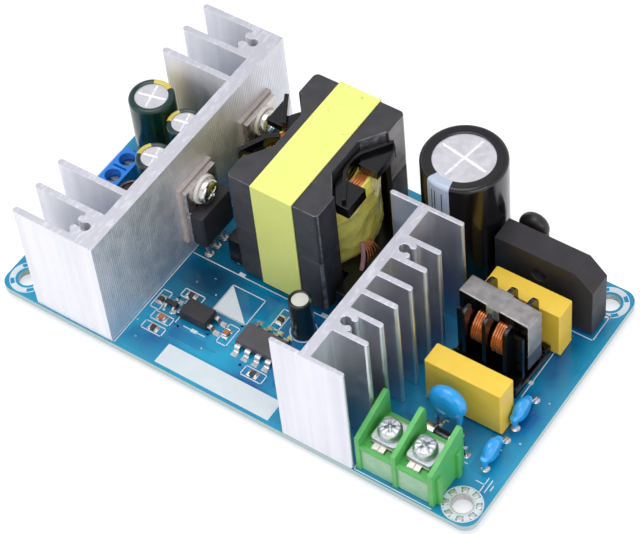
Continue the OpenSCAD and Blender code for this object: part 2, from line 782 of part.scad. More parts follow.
module bulk_capacitor_can() color("#d9d6d6")
    on_board(bulk_x, bulk_y) capacitor_can(bulk_d, bulk_height, -10);

module output_capacitor_sleeves() color("#0e4a40")
    for (c = output_caps) on_board(c[0], c[1]) capacitor_sleeve(c[2], c[3]);

module output_capacitor_cans() color("#d9d6d6")
    for (c = output_caps) on_board(c[0], c[1]) capacitor_can(c[2], c[3]);

// A drum inductor in heat-shrink sleeve: two flanges and a waist under the film.
module filter_inductor() color("#3a2c2a")
    on_board(inductor_place[0], inductor_place[1]) rotate_extrude() difference() {
        square([inductor_d/2, inductor_height]);
        translate([inductor_d/2 + 0.2, inductor_height/2])
            square([1, inductor_height*0.55], center = true);
        translate([0, inductor_height - 0.3]) square([inductor_d/2 - 0.5, 1]);
    }

module supply_capacitor_sleeve() color("#123b34")
    on_board(supply_place[0], supply_place[1]) capacitor_sleeve(supply_cap_d, supply_cap_height);

module supply_capacitor_can() color("#d9d6d6")
    on_board(supply_place[0], supply_place[1]) capacitor_can(supply_cap_d, supply_cap_height);

module capacitor_leads() color("#c8c8c8") {
    for (p = bulk_points) lead(p, 1);
    for (p = small_cap_points) lead(p, cap_lead_d);
    for (p = film_points) lead(p, cap_lead_d, 0.6);
    for (p = choke_points) lead(p, cap_lead_d);
    for (p = bridge_points) lead(p, 1.2, 0.8);
}

module film_capacitors() color("#f4cf4e")
    for (y = [film_near_y, film_far_y]) on_board(filter_x, y) {
        translate([0, 0, 0.6]) linear_extrude(film_height - 0.6)
            rounded(film_length, film_t, 0.35);
        for (s = [-1, 1]) translate([s*(film_length/2 - 0.4) - 0.3, -film_t/2 + 0.35, 0])
            cube([0.6, film_t - 0.7, 0.6 + eps]);
    }

// ---- mains choke -------------------------------------------------------------------------

choke_leg_z = choke_top - choke_core_height + choke_leg/2;   // axis of the wound leg
choke_window = choke_core_height - 2*choke_leg;
choke_gap = 0.1;                                              // film between the two U halves
choke_inside = choke_length - 2*choke_leg;

module at_choke(z = 0) on_board(choke_x, choke_y, z) children();

// One U half: two legs that meet the other half's at the middle.
module choke_u() rotate([90, 0, 0]) linear_extrude(choke_core_t, center = true) difference() {
    translate([choke_gap/2, 0]) square([(choke_length - choke_gap)/2, choke_core_height]);
    translate([-eps, choke_leg]) square([choke_inside/2 + eps, choke_window]);
}

module choke_core() color("#8d8a88") at_choke(choke_top - choke_core_height) {
    choke_u();
    mirror([1, 0, 0]) choke_u();
}

module choke_flange() {
    w = choke_base_width;
    rotate([90, 0, 90]) linear_extrude(choke_flange_t, center = true) difference() {
        translate([0, (choke_top - 0.6)/2 + 0.5]) rounded(w, choke_top - 1.6, 2.6);
        // room for the bare upper leg
        translate([-choke_core_t/2 - 0.3, choke_top - choke_leg - 0.3])
            square([choke_core_t + 0.6, choke_leg + 2]);
        translate([0, choke_leg_z])
            square([choke_core_t + 0.4, choke_leg + 0.4], center = true);
    }
}

module choke_bobbin() color("#1a191b") at_choke() difference() {
    union() {
        for (s = [-1, 0, 1]) translate([s*(choke_inside/2 - choke_flange_t/2 - 0.2), 0, 0])
            choke_flange();
        translate([-choke_inside/2 + 0.3, -choke_core_t/2 - 0.9, choke_leg_z - choke_leg/2 - 0.9])
            cube([choke_inside - 0.6, choke_core_t + 1.8, choke_leg + 1.8]);
        translate([-choke_base_length/2, -choke_base_width/2, 0])
            cube([choke_base_length, choke_base_width, 2]);
        for (s = [-1, 1]) translate([-choke_base_length/2, s*(choke_base_width/2 - 1) - 1, 0])
            cube([choke_base_length, 2, 3.2]);
    }
    translate([-choke_length, -choke_core_t/2 - 0.2, choke_leg_z - choke_leg/2 - 0.2])
        cube([2*choke_length, choke_core_t + 0.4, choke_leg + 0.4]);
}

module choke_coils() color("#d9772f") at_choke(choke_leg_z) {
    len = choke_inside/2 - 1.5*choke_flange_t - 0.2;
    for (s = [-1, 1]) translate([s*(choke_flange_t/2 + len/2), 0, 0])
        rotate([0, 90, 0]) difference() {
            cylinder(d = choke_coil_d, h = len, center = true);
            cube([choke_leg + 1.8, choke_core_t + 1.8, len + 1], center = true);
        }
}

// Silver tape over the joint of the upper leg.
module choke_tape() color("#bdb9a8") at_choke(choke_top - choke_leg) difference() {
    translate([-1.5, -choke_core_t/2 - 0.15, -0.15]) cube([3, choke_core_t + 0.3, choke_leg + 0.3]);
    translate([-2, -choke_core_t/2, 0]) cube([4, choke_core_t, choke_leg]);
}

// ---- bridge rectifier and discs ----------------------------------------------------------

module bridge_rectifier() color("#3b383a") on_board(bridge_x, bridge_y, 0.8)
    rotate([90, 0, 0]) translate([0, 0, -bridge_t/2]) linear_extrude(bridge_t) difference() {
        w = bridge_width/2;
        h = bridge_height - 0.8;
        polygon([[-w, 0], [w, 0], [w, h - bridge_bevel], [w - bridge_bevel, h], [-w, h]]);
        translate([-bridge_hole_shift, bridge_hole_z - 0.8]) circle(d = bridge_hole_d);
    }

// A dipped disc that stands on edge, domed on both faces.
module disc(d, t) rotate([90, 0, 0]) rotate_extrude() intersection() {
    translate([0, -t/2]) square([d/2, t]);
    union() {
        translate([0, -t/2]) square([d/2 - t/2, t]);
        translate([d/2 - t/2, 0]) circle(d = t);
    }
}

module varistor() color("#1e8fe0")
    on_board(varistor_x, varistor_y, varistor_z) disc(varistor_d, varistor_t);

safety_z = 0.9 + safety_cap_d/2;
module safety_capacitors() color("#2fa2f0")
    for (y = safety_ys) on_board(safety_x, y - safety_shift, safety_z) rotate(90)
        disc(safety_cap_d, safety_cap_t);

module thermistor() color("#26241f")
    on_board(thermistor_place[0], thermistor_place[1], thermistor_z) disc(thermistor_d, thermistor_t);

module snubber_capacitor() color("#3a2b20")
    on_board(snubber_place[0], snubber_place[1], snubber_z) rotate(90) disc(snubber_d, snubber_t);

module disc_leads() color("#c8c8c8") {
    rim_leads(varistor_points, disc_half_pitch, varistor_z, varistor_d);
    rim_leads(thermistor_points, disc_half_pitch, thermistor_z, thermistor_d);
    rim_leads(snubber_points, disc_half_pitch, snubber_z, snubber_d);
    // the safety capacitors' wires are kinked outward to wider holes
    for (k = [0, 1]) for (s = [-1, 1]) {
        foot = [safety_x, safety_ys[k] + s*safety_cap_pitch/2, 0.6];
        rim = [safety_x, safety_ys[k] - safety_shift, safety_z];
        lead(foot, cap_lead_d, 0.8);
        wire(foot, foot + (rim - foot)*(1 - (safety_cap_d/2 + rim_gap)/norm(rim - foot)),
             cap_lead_d);
    }
    for (k = [0, 1]) {
        p = fuse_points[k];
        lead(p, cap_lead_d, fuse_z + cap_lead_d/2);
        on_board(p[0], p[1], fuse_z) rotate([0, k == 0 ? 90 : -90, 0])
            cylinder(d = cap_lead_d, h = fuse_lead_reach);
    }
}

module fuse_body() color("#2a2b2e") on_board(fuse_place[0], fuse_place[1], fuse_z)
    rotate([0, 90, 0]) cylinder(d = fuse_d - 0.6, h = fuse_length - 3.6, center = true);

module fuse_caps() color("#cfcac0") for (s = [-1, 1])
    on_board(fuse_place[0] + s*(fuse_length/2 - 0.9), fuse_place[1], fuse_z)
        rotate([0, 90, 0]) cylinder(d = fuse_d, h = 1.8, center = true);

// ---- input terminal ----------------------------------------------------------------------

input_width = 2*input_pitch + input_barrier_t;
input_bay = input_pitch - input_barrier_t;

module at_input(z = 0) on_board(input_left, input_front, z) children();

// Side view of a barrier: upright front, a rising top and an upright back.
module barrier() rotate([90, 0, 90]) linear_extrude(input_barrier_t)
    polygon([[0, 0], [input_depth, 0], [input_depth, input_barrier_height - 1.2],
             [input_depth - 0.8, input_barrier_height], [input_depth - 1.8, input_barrier_height],
             [0.8, input_barrier_height - 1], [0, input_barrier_height - 2]]);

module input_housing() color("#56b35a") at_input() difference() {
    union() {
        for (k = [0:2]) translate([k*input_pitch, 0, 0]) barrier();
        translate([0, 0.5, 0]) cube([input_width, input_depth - 1, input_deck_height]);
        // front panels and the rim behind each deck
        for (k = [0:1]) translate([input_barrier_t + k*input_pitch, 0, 0]) {
            translate([-eps, 0.2, 0.6]) cube([input_bay + 2*eps, 0.9, input_deck_height + 0.2]);
            translate([-eps, input_depth - 1.2, 0]) cube([input_bay + 2*eps, 0.9, 9]);
        }
        // keys that join one block to the next
        for (y = [1.2, 8.2]) translate([input_width - eps, y, 0]) cube([0.8, 1.3, 8.2]);
    }
    for (x = input_bays) translate([x - input_left, 0, 0]) {
        // well for the screw's thread and the plate's leg
        translate([0, input_screw_y - input_front, input_deck_height - 5]) cylinder(d = 3.6, h = 6);
        translate([-0.9, input_screw_y - input_front + 2.5, -eps])
            cube([1.8, 1.8, input_deck_height + 2*eps]);
    }
}

// Clamping plates on the deck, each with a leg that is soldered to the board.
module input_plates() color("#c9c4b8")
    for (k = [0, 1]) {
        x = input_bays[k];
        on_board(x, input_screw_y, input_deck_height) difference() {
            translate([-input_plate_width/2, 4.3 - input_plate_length, 0])
                cube([input_plate_width, input_plate_length, input_plate_t]);
            translate([0, 0, -eps]) cylinder(d = input_screw_d + 0.5, h = 2);
        }
        p = input_points[k];
        lead(p, 1.4);
        on_board(p[0] - 0.7, p[1] - 0.7, 0) cube([1.4, 1.4, input_deck_height]);
    }

module input_washers() color("#bfc0bd")
    for (x = input_bays) on_board(x, input_screw_y, input_deck_height + input_plate_t)
        linear_extrude(input_washer_t) difference() {
            rounded(input_washer_side, input_washer_side, 0.8);
            circle(d = input_screw_d + 0.5);
        }

module input_screws() color("#c7c9cb")
    for (x = input_bays)
        on_board(x, input_screw_y, input_deck_height + input_plate_t + input_washer_t) {
            pan_head(input_head_d, input_head_h);
            translate([0, 0, -5.5]) cylinder(d = input_screw_d, h = 5.5 + eps);
        }

// ---- output terminal ---------------------------------------------------------------------

output_terminal_length = 2*output_pitch;
module at_output(z = 0) on_board(output_terminal_x, output_terminal_y, z) children();

module output_housing() color("#1f86ea") at_output() difference() {
    union() {
        rotate([90, 0, 0]) translate([0, 0, -output_terminal_length/2])
            linear_extrude(output_terminal_length)
                polygon([[0, 0], [output_terminal_depth, 0],
                         [output_terminal_depth, output_terminal_height],
                         [output_terminal_depth - output_terminal_top, output_terminal_height],
                         [0.4, output_terminal_height - 3], [0, output_terminal_height - 4]]);
        // key that joins one block to the next
        translate([2.6, output_terminal_length/2 - eps, 0])
            cube([1.8, 1, output_terminal_height - 1]);
    }
    for (y = output_bays) translate([0, y - output_terminal_y, 0]) {
        // screw hole, cage chamber and wire entry
        translate([output_screw_x - output_terminal_x, 0, 6.5])
            cylinder(d = output_screw_hole_d, h = 10);
        translate([output_screw_x - output_terminal_x - 2.2, -2.05, -eps]) cube([4.4, 4.1, 7]);
        translate([-1, -1.7, 1.8]) cube([4, 3.4, 3.6]);
    }
    translate([output_terminal_depth - output_terminal_top/2 - 1.7, -0.25,
               output_terminal_height - 1]) cube([3.4, 0.5, 2]);
}

// Wire cages with their pins.
module output_cages() color("#c9c4b8")
    for (k = [0, 1]) {
        p = output_points[k];
        on_board(p[0], p[1], 0) difference() {
            translate([-1.9, -1.75, 0]) cube([3.8, 3.5, 6.2]);
            translate([-3, -1.25, 1.3]) cube([6, 2.5, 3.6]);
            translate([0, 0, 3]) cylinder(d = 2.7, h = 5);
        }
        lead(p, 1.1);
    }

module output_screws() color("#8f8f8c")
    for (p = output_points) on_board(p[0], p[1], 5.2) difference() {
        union() {
            cylinder(d = 2.4, h = 1.2);
            translate([0, 0, 1]) cylinder(d = output_screw_hole_d - 0.5, h = 1.6);
        }
        translate([-2, -0.25, 2]) cube([4, 0.5, 2]);
    }

// ---- surface parts -----------------------------------------------------------------------

controller_place = [57.5, 15.4];
opto_place = [42, 14.5];
transistor_place = [35.2, 14.4];
lead_t = 0.25;
body_lift = 0.15;
// chip parts: [x, y, turned a quarter, capacitor]
chips = [[32.4, 14.4, 1, 0], [37.3, 18.45, 0, 0], [35.4, 10.6, 0, 1], [35.4, 7.6, 0, 0],
         [49.3, 14.2, 1, 1], [59.9, 8.6, 0, 0], [56.9, 22.9, 1, 0]];

module moulded(l, w, h) translate([0, 0, body_lift]) intersection() {
    linear_extrude(h) square([l, w], center = true);
    rotate([90, 0, 90]) linear_extrude(l, center = true)
        polygon([[-w/2, h*0.35], [-w/2 + 0.2, 0], [w/2 - 0.2, 0], [w/2, h*0.35],
                 [w/2 - 0.2, h], [-w/2 + 0.2, h]]);
}

// A gull-wing lead that leaves a body's side toward +Y and stands on the board.
module gull(half, h, width, tip) {
    run = tip - half;
    rotate([90, 0, 90]) linear_extrude(width, center = true)
        polygon([[half, h], [half + run*0.35, h], [half + run*0.5, lead_t], [tip, lead_t],
                 [tip, 0], [half + run*0.4, 0], [half + run*0.25, h - lead_t], [half, h - lead_t]]);
}

module controller() color("#26262a")
    on_board(controller_place[0], controller_place[1])
        moulded(controller_length, controller_width, controller_height);

module optocoupler() color("#222226")
    on_board(opto_place[0], opto_place[1]) rotate(90)
        moulded(opto_width, opto_length, 2);

module small_transistor() color("#222226")
    on_board(transistor_place[0], transistor_place[1]) moulded(2.9, 1.3, 1);

module surface_leads() color("#c8c8c8") {
    on_board(controller_place[0], controller_place[1])
        for (k = [-1.5:1:1.5]) for (s = [0, 180])
            rotate(s) translate([k*2.54, 0, 0])
                gull(controller_width/2, body_lift + controller_height*0.35 + lead_t/2, 0.9,
                     controller_tip);
    on_board(opto_place[0], opto_place[1])
        for (k = [-0.5, 0.5]) for (s = [90, -90])
            rotate(s) translate([k*2.54, 0, 0])
                gull(opto_length/2, body_lift + 0.7 + lead_t/2, 0.9, opto_tip);
    on_board(transistor_place[0], transistor_place[1]) {
        gull(0.65, body_lift + 0.35 + lead_t/2, 0.4, 1.9);
        for (x = [-0.95, 0.95]) rotate(180) translate([x, 0, 0])
            gull(0.65, body_lift + 0.35 + lead_t/2, 0.4, 1.9);
    }
}

module chip_bodies() color("#3a3634")
    for (c = chips) on_board(c[0], c[1]) rotate(90*c[2])
        translate([-chip_length/2 + 0.4, -chip_width/2, 0])
            cube([chip_length - 0.8, chip_width, c[3] == 1 ? 0.8 : 0.5]);

module chip_ends() color("#c8c8c8")
    for (c = chips) on_board(c[0], c[1]) rotate(90*c[2]) for (s = [-1, 1])
        translate([s*(chip_length/2 - 0.2) - 0.2, -chip_width/2, 0])
            cube([0.4, chip_width, c[3] == 1 ? 0.8 : 0.5]);

// ---- nodes -------------------------------------------------------------------------------

board();
solder_joints();
output_heatsink();
primary_heatsink();
heatsink_pins();
insulating_pads();
device_bodies();
device_frames();
insulating_bushes();
device_screws();
core_lower();
core_upper();
transformer_bobbin();
transformer_coil();
transformer_tape();
transformer_pins();
bulk_capacitor_sleeve();
bulk_capacitor_can();
output_capacitor_sleeves();
output_capacitor_cans();
filter_inductor();
supply_capacitor_sleeve();
supply_capacitor_can();
capacitor_leads();
film_capacitors();
choke_core();
choke_bobbin();
choke_coils();
choke_tape();
bridge_rectifier();
varistor();
safety_capacitors();
thermistor();
snubber_capacitor();
disc_leads();
fuse_body();
fuse_caps();
input_housing();
input_plates();
input_washers();
input_screws();
output_housing();
output_cages();
output_screws();
controller();
optocoupler();
small_transistor();
surface_leads();
chip_bodies();
chip_ends();
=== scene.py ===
"""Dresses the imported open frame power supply: print, windings, sleeves, hardware, finishes.

Each sub-assembly is a class. Its sizes are millimetres, and places on the board are measured
from the board's left and near edges and from its top face, as in the part's own source.
"""
import logging
import math
from dataclasses import dataclass, replace
from enum import Enum
from functools import cached_property
from typing import Callable, Iterable, Sequence

import bmesh
import bpy
from mathutils import Matrix, Vector, noise


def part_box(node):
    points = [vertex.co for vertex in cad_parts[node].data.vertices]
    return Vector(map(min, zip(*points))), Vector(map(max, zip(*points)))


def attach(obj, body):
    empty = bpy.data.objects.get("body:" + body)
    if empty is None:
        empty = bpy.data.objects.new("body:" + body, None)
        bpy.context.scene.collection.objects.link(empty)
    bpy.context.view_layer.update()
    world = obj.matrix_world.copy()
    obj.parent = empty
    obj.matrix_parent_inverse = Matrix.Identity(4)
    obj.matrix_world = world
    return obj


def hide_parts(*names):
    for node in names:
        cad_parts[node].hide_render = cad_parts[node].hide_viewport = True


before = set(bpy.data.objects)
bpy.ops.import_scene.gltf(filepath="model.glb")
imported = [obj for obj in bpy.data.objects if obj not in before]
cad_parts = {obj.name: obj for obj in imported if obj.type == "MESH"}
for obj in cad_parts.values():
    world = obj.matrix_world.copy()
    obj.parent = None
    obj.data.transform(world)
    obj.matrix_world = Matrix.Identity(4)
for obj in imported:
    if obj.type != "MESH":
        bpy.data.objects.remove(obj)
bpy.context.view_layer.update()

MM = 0.001  # a millimetre in the frame's metres
LOG = logging.getLogger("power_supply")
Point = tuple[float, float]
Spot = tuple[float, float, float]
Box = tuple[float, float, float, float]
Colour = tuple[float, float, float, float]
Row = list[bmesh.types.BMVert]
Socket = bpy.types.NodeSocket
Move = Callable[[Vector], Vector]
Zones = Callable[[Vector, Vector], int]


# ---- places ------------------------------------------------------------------------------

BOARD_LOW, BOARD_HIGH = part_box("board")


def at(x: float, y: float, z: float = 0.0) -> Vector:
    """Gives the frame's place, in metres, of a place on the board in millimetres."""
    return Vector((BOARD_LOW.x + x * MM, BOARD_LOW.y + y * MM, BOARD_HIGH.z + z * MM))


def seat(x: float, y: float, z: float = 0.0, *turns: tuple[float, str]) -> Matrix:
    """Gives a local system in millimetres that stands at a place on the board.

    Args:
        x, y, z: the place.
        turns: angles in degrees, each with the axis that it turns about.

    Returns:
        The matrix from local millimetres to the frame.
    """
    matrix = Matrix.Translation(at(x, y, z))
    for angle, axis in turns:
        matrix = matrix @ Matrix.Rotation(math.radians(angle), 4, axis)
    return matrix @ Matrix.Scale(MM, 4)


def circle(radius: float, z: float, steps: int) -> list[Spot]:
    """Gives points round a circle, or the one point of a circle without a radius."""
    turns = [2 * math.pi * k / steps for k in range(steps if radius else 1)]
    return [(radius * math.cos(t), radius * math.sin(t), z) for t in turns]


def welded(node: str) -> bmesh.types.BMesh:
    """Copies a CAD node's mesh and welds its seams.

    Args:
        node: the CAD node.

    Returns:
        The copy.
    """
    mesh = bmesh.new()
    mesh.from_mesh(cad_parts[node].data)
    bmesh.ops.remove_doubles(mesh, verts=mesh.verts, dist=1e-6)
    return mesh


@dataclass(frozen=True)
class Solid:
    """The box of one solid in a node, in millimetres on the board."""

    low: Vector
    high: Vector

    @property
    def middle(self) -> Vector:
        """The box's centre."""
        return (self.low + self.high) / 2

    @property
    def size(self) -> Vector:
        """The box's three sides."""
        return self.high - self.low

    @property
    def top(self) -> float:
        """The top's height in the frame, in metres."""
        return at(0, 0, self.high.z).z


def solids_of(node: str) -> list[Solid]:
    """Finds the separate solids of a node.

    Args:
        node: the CAD node.

    Returns:
        Their boxes, sorted from left to right and then from near to far.
    """
    mesh = welded(node)
    left, found = set(mesh.verts), []
    while left:
        stack, island = [left.pop()], []
        while stack:
            vert = stack.pop()
            island.append(vert.co.copy())
            fresh = {edge.other_vert(vert) for edge in vert.link_edges} & left
            left -= fresh
            stack.extend(fresh)
        corners = [Vector(pick(p[k] for p in island) for k in range(3)) for pick in (min, max)]
        found.append(Solid(*((corner - at(0, 0)) / MM for corner in corners)))
    mesh.free()
    return sorted(found, key=lambda s: (round(s.middle.x, 1), round(s.middle.y, 1)))


# ---- finishes ----------------------------------------------------------------------------

MIX_A, MIX_B, MIX_OUT = 6, 7, 2  # the colour sockets of a Mix node


def linear(code: str) -> Colour:
    """Turns an sRGB hex colour into linear values with an alpha of one."""
    parts = [int(code[k : k + 2], 16) / 255 for k in (1, 3, 5)]
    return *(c / 12.92 if c <= 0.04045 else ((c + 0.055) / 1.055) ** 2.4 for c in parts), 1.0


class Canvas:
    """A node tree that is filled from empty."""

    def __init__(self, tree: bpy.types.NodeTree) -> None:
        """Clears the tree."""
        self.tree = tree
        tree.nodes.clear()

    @cached_property
    def coords(self) -> bpy.types.bpy_prop_collection:
        """The coordinates, added at their first use."""
        return self.add("TexCoord").outputs

    @property
    def place(self) -> Socket:
        """A surface's place in the frame, in metres."""
        return self.coords["Object"]

    def add(
        self, kind: str, inputs: dict | Sequence = (), **settings: object
    ) -> bpy.types.Node:
        """Adds one shader node with its settings and links.

        Args:
            kind: the node's type without its "ShaderNode" start.
            inputs: values, or outputs to link, in the node's own order or by name or number.
            settings: the node's own properties.

        Returns:
            The new node.
        """
        node = self.tree.nodes.new("ShaderNode" + kind)
        for name, value in settings.items():
            setattr(node, name, value)
        for key, value in inputs.items() if isinstance(inputs, dict) else enumerate(inputs):
            if isinstance(value, Socket):
                self.tree.links.new(value, node.inputs[key])
            else:
                node.inputs[key].default_value = value
        return node

    def blotch(
        self, size_mm: float, low: float, high: float, start: float = 0.35,
        end: float = 0.65, along: Sequence[float] | None = None,
    ) -> Socket:
        """Gives smooth noise of a real size, stretched to run from low to high.

        Args:
            size_mm: the pattern's size.
            low, high: the values that it runs between.
            start, end: the noise's own values that become low and high.
            along: a factor for each axis; a small one draws the pattern out along it.

        Returns:
            The value.
        """
        place = self.place
        if along:
            place = self.add("VectorMath", [place, along], operation="MULTIPLY").outputs[0]
        cloud = self.add(
            "TexNoise", {"Vector": place, "Scale": 1 / (size_mm * MM), "Detail": 3.0}
        )
        return self.add("MapRange", [cloud.outputs[0], start, end, low, high]).outputs[0]

    def steep(self) -> Socket:
        """Gives 1 where a surface stands upright and 0 where it lies flat.

        Returns:
            The value.
        """
        height = self.add("SeparateXYZ", [self.coords["Normal"]]).outputs[2]
        size = self.add("Math", [height], operation="ABSOLUTE").outputs[0]
        return self.add("Math", [size, 0.6], operation="LESS_THAN").outputs[0]

    def shown(self) -> Socket:
        """Gives 1 for rays that show the background: camera, glossy and transmission rays.

        Returns:
            The value.
        """
        path = self.add("LightPath").outputs
        some = path["Is Camera Ray"]
        for ray in ("Is Glossy Ray", "Is Transmission Ray"):
            some = self.add("Math", [some, path[ray]], operation="MAXIMUM").outputs[0]
        return some


@dataclass(frozen=True)
class Finish:
    """A finish with a drift of colour, a drift of gloss and a fine grain."""

    name: str
    slot: str
    colour: str
    roughness: float
    second: str
    drift: float = 0.6  # the most that the second colour shows
    drift_mm: float = 5.0
    metallic: float = 0.0
    ior: float = 1.5
    coat: float = 0.0
    gloss_drift: float = 0.06
    grain_mm: float = 0.25
    grain_depth_mm: float = 0.004

    def material(self) -> bpy.types.Material:
        """Gives this finish's material, made at its first use.

        Returns:
            The material.
        """
        found = bpy.data.materials.get(self.name)
        if found:
            return found
        made = bpy.data.materials.new(self.name)
        made.use_nodes = True
        canvas = Canvas(made.node_tree)
        surface = canvas.add("BsdfPrincipled", {
            "Base Color": linear(self.colour), "Roughness": self.roughness,
            "Metallic": self.metallic, "IOR": self.ior,
            "Coat Weight": self.coat, "Coat Roughness": 0.08,
        })
        grain = canvas.add("Bump", {
            "Height": self.relief(canvas), "Distance": self.grain_depth_mm * MM,
            "Strength": 1.0,
        })
        for name, source in (
            ("Base Color", self.paint(canvas)), ("Roughness", self.gloss(canvas)),
            ("Normal", grain.outputs[0]),
        ):
            canvas.tree.links.new(source, surface.inputs[name])
        canvas.add("OutputMaterial", [surface.outputs[0]])
        return made

    def paint(self, canvas: Canvas) -> Socket:
        """Gives the colour all over.

        Args:
            canvas: the material's nodes.

        Returns:
            The colour.
        """
        share = canvas.blotch(self.drift_mm, 0.0, self.drift)
        colours = {0: share, MIX_A: linear(self.colour), MIX_B: linear(self.second)}
        return canvas.add("Mix", colours, data_type="RGBA").outputs[MIX_OUT]

    def gloss(self, canvas: Canvas) -> Socket:
        """Gives the roughness all over."""
        low, high = self.roughness - self.gloss_drift, self.roughness + self.gloss_drift
        return canvas.blotch(self.drift_mm * 0.6, max(low, 0.02), min(high, 1.0))

    def relief(self, canvas: Canvas) -> Socket:
        """Gives the grain's height from 0 to 1."""
        return canvas.blotch(self.grain_mm, 0.0, 1.0, 0.3, 0.7)


@dataclass(frozen=True)
class DrawnAluminium(Finish):
    """Extruded aluminium, mill finish: ribs and die lines run along the extrusion (Z), and
    the sawn ends are smoother. The ribs are 0.55 mm apart, and catch light as fine lines."""

    rib_mm: float = 0.55
    die_line_mm: float = 0.3
    sawn: str = "#cacad0"
    nick: str = "#e2e2e8"

    def relief(self, canvas: Canvas) -> Socket:
        """Gives the height of ribs and die lines on the sides, and of saw marks on the ends.

        Args:
            canvas: the material's nodes.

        Returns:
            The height from 0 to 1.
        """
        turns = 2 * math.pi / (self.rib_mm * MM)
        along = canvas.add(
            "VectorMath", [canvas.place, (turns, turns, 0.0)], operation="DOT_PRODUCT"
        ).outputs["Value"]
        rib = canvas.add("Math", [along], operation="SINE").outputs[0]
        soft = canvas.add("MapRange", [rib, -1.0, 1.0, 0.0, 0.55]).outputs[0]
        lines = canvas.blotch(self.die_line_mm, 0.0, 0.22, along=(1, 1, 0.05))
        sides = canvas.add("Math", [soft, lines], operation="ADD").outputs[0]
        saw = canvas.blotch(0.5, 0.0, 0.1, along=(1, 0.1, 1))
        heights = {0: canvas.steep(), 2: saw, 3: sides}
        return canvas.add("Mix", heights, data_type="FLOAT").outputs[0]

    def paint(self, canvas: Canvas) -> Socket:
        """Gives bright metal with darker drawn streaks on the sides.

        Args:
            canvas: the material's nodes.

        Returns:
            The colour.
        """
        streak = canvas.blotch(2.4, 0.0, self.drift, along=(1, 1, 0.03))
        nicks = canvas.blotch(0.8, 0.0, 0.8, 0.5, 0.7, along=(1, 0.35, 1))
        sides, ends = (
            canvas.add(
                "Mix", {0: share, MIX_A: linear(one), MIX_B: linear(two)}, data_type="RGBA"
            ).outputs[MIX_OUT]
            for share, one, two in (
                (streak, self.colour, self.second), (nicks, self.sawn, self.nick),
            )
        )
        colours = {0: canvas.steep(), MIX_A: ends, MIX_B: sides}
        return canvas.add("Mix", colours, data_type="RGBA").outputs[MIX_OUT]


@dataclass(frozen=True)
class MaskedLaminate(Finish):
    """Glass laminate under blue solder mask: glossy ink, with a painted shade of dark blue
    round one place and painted light toward the rim, and pale greenish laminate at the cut
    edges."""

    edge: str = "#bcd5cf"
    # Painted light: the lighter teal that the mask turns toward the board's edges.
    rim: str = "#2a9cc0"
    rim_mm: float = 3.0
    # Painted shade: a dark blue round one place near the transformer.
    painted_shade: str = "#08294a"
    deep_at: Point = (38.0, 24.0)
    deep_mm: float = 15.0

    def paint(self, canvas: Canvas) -> Socket:
        """Gives the mask's blues with their painted shade and painted rim light, and the
        laminate at the edges.

        Args:
            canvas: the material's nodes.

        Returns:
            The colour.
        """
        # Painted shade: the dark blue's share falls off with the distance from that place.
        away = canvas.add(
            "VectorMath", [canvas.place, at(*self.deep_at)], operation="DISTANCE"
        ).outputs["Value"]
        reach = self.deep_mm * MM
        thick = canvas.add("MapRange", [away, 0.15 * reach, reach, 0.9, 0.0]).outputs[0]
        # Painted light: the lighter teal's share grows toward the board's nearest edge.
        axes = canvas.add("SeparateXYZ", [canvas.place]).outputs
        gaps = []
        for axis in (0, 1):
            half = (BOARD_HIGH[axis] - BOARD_LOW[axis]) / 2
            middle = (BOARD_HIGH[axis] + BOARD_LOW[axis]) / 2
            gap = canvas.add("Math", [axes[axis], middle], operation="SUBTRACT").outputs[0]
            gap = canvas.add("Math", [gap], operation="ABSOLUTE").outputs[0]
            gaps.append(canvas.add("Math", [half, gap], operation="SUBTRACT").outputs[0])
        nearest = canvas.add("Math", gaps, operation="MINIMUM").outputs[0]
        near = canvas.add("MapRange", [nearest, 0.0, self.rim_mm * MM, 0.75, 0.0]).outputs[0]
        colour = super().paint(canvas)
        for share, other in ((thick, self.painted_shade), (near, self.rim), (canvas.steep(), self.edge)):
            colours = {0: share, MIX_A: colour, MIX_B: linear(other)}
            colour = canvas.add("Mix", colours, data_type="RGBA").outputs[MIX_OUT]
        return colour


@dataclass(frozen=True)
class Flecked(Finish):
    """A finish with small flecks of another colour."""

    fleck: str = "#cfcfd4"
    fleck_mm: float = 0.9
    fleck_share: float = 0.6
    fleck_from: float = 0.735  # noise above this value starts a fleck
    fleck_full: float = 0.775

    def paint(self, canvas: Canvas) -> Socket:
        """Gives the colour with its flecks.

        Args:
            canvas: the material's nodes.

        Returns:
            The colour.
        """
        body = super().paint(canvas)
        share = canvas.blotch(
            self.fleck_mm, 0.0, self.fleck_share, self.fleck_from, self.fleck_full
        )
        colours = {0: share, MIX_A: body, MIX_B: linear(self.fleck)}
        return canvas.add("Mix", colours, data_type="RGBA").outputs[MIX_OUT]


@dataclass(frozen=True)
class GroundFerrite(Flecked):
    """Sintered ferrite: dark, matt and stony, ground on its faces, with small bright pits and
    chips where the hard ceramic has flaked."""


@dataclass(frozen=True)
class SmoothTape(Flecked):
    """Polyester film tape: even and slightly glossy, with a few dark specks of dust."""

    fleck: str = "#8f9140"
    fleck_mm: float = 1.3
    fleck_share: float = 0.55
    fleck_from: float = 0.70
    fleck_full: float = 0.76


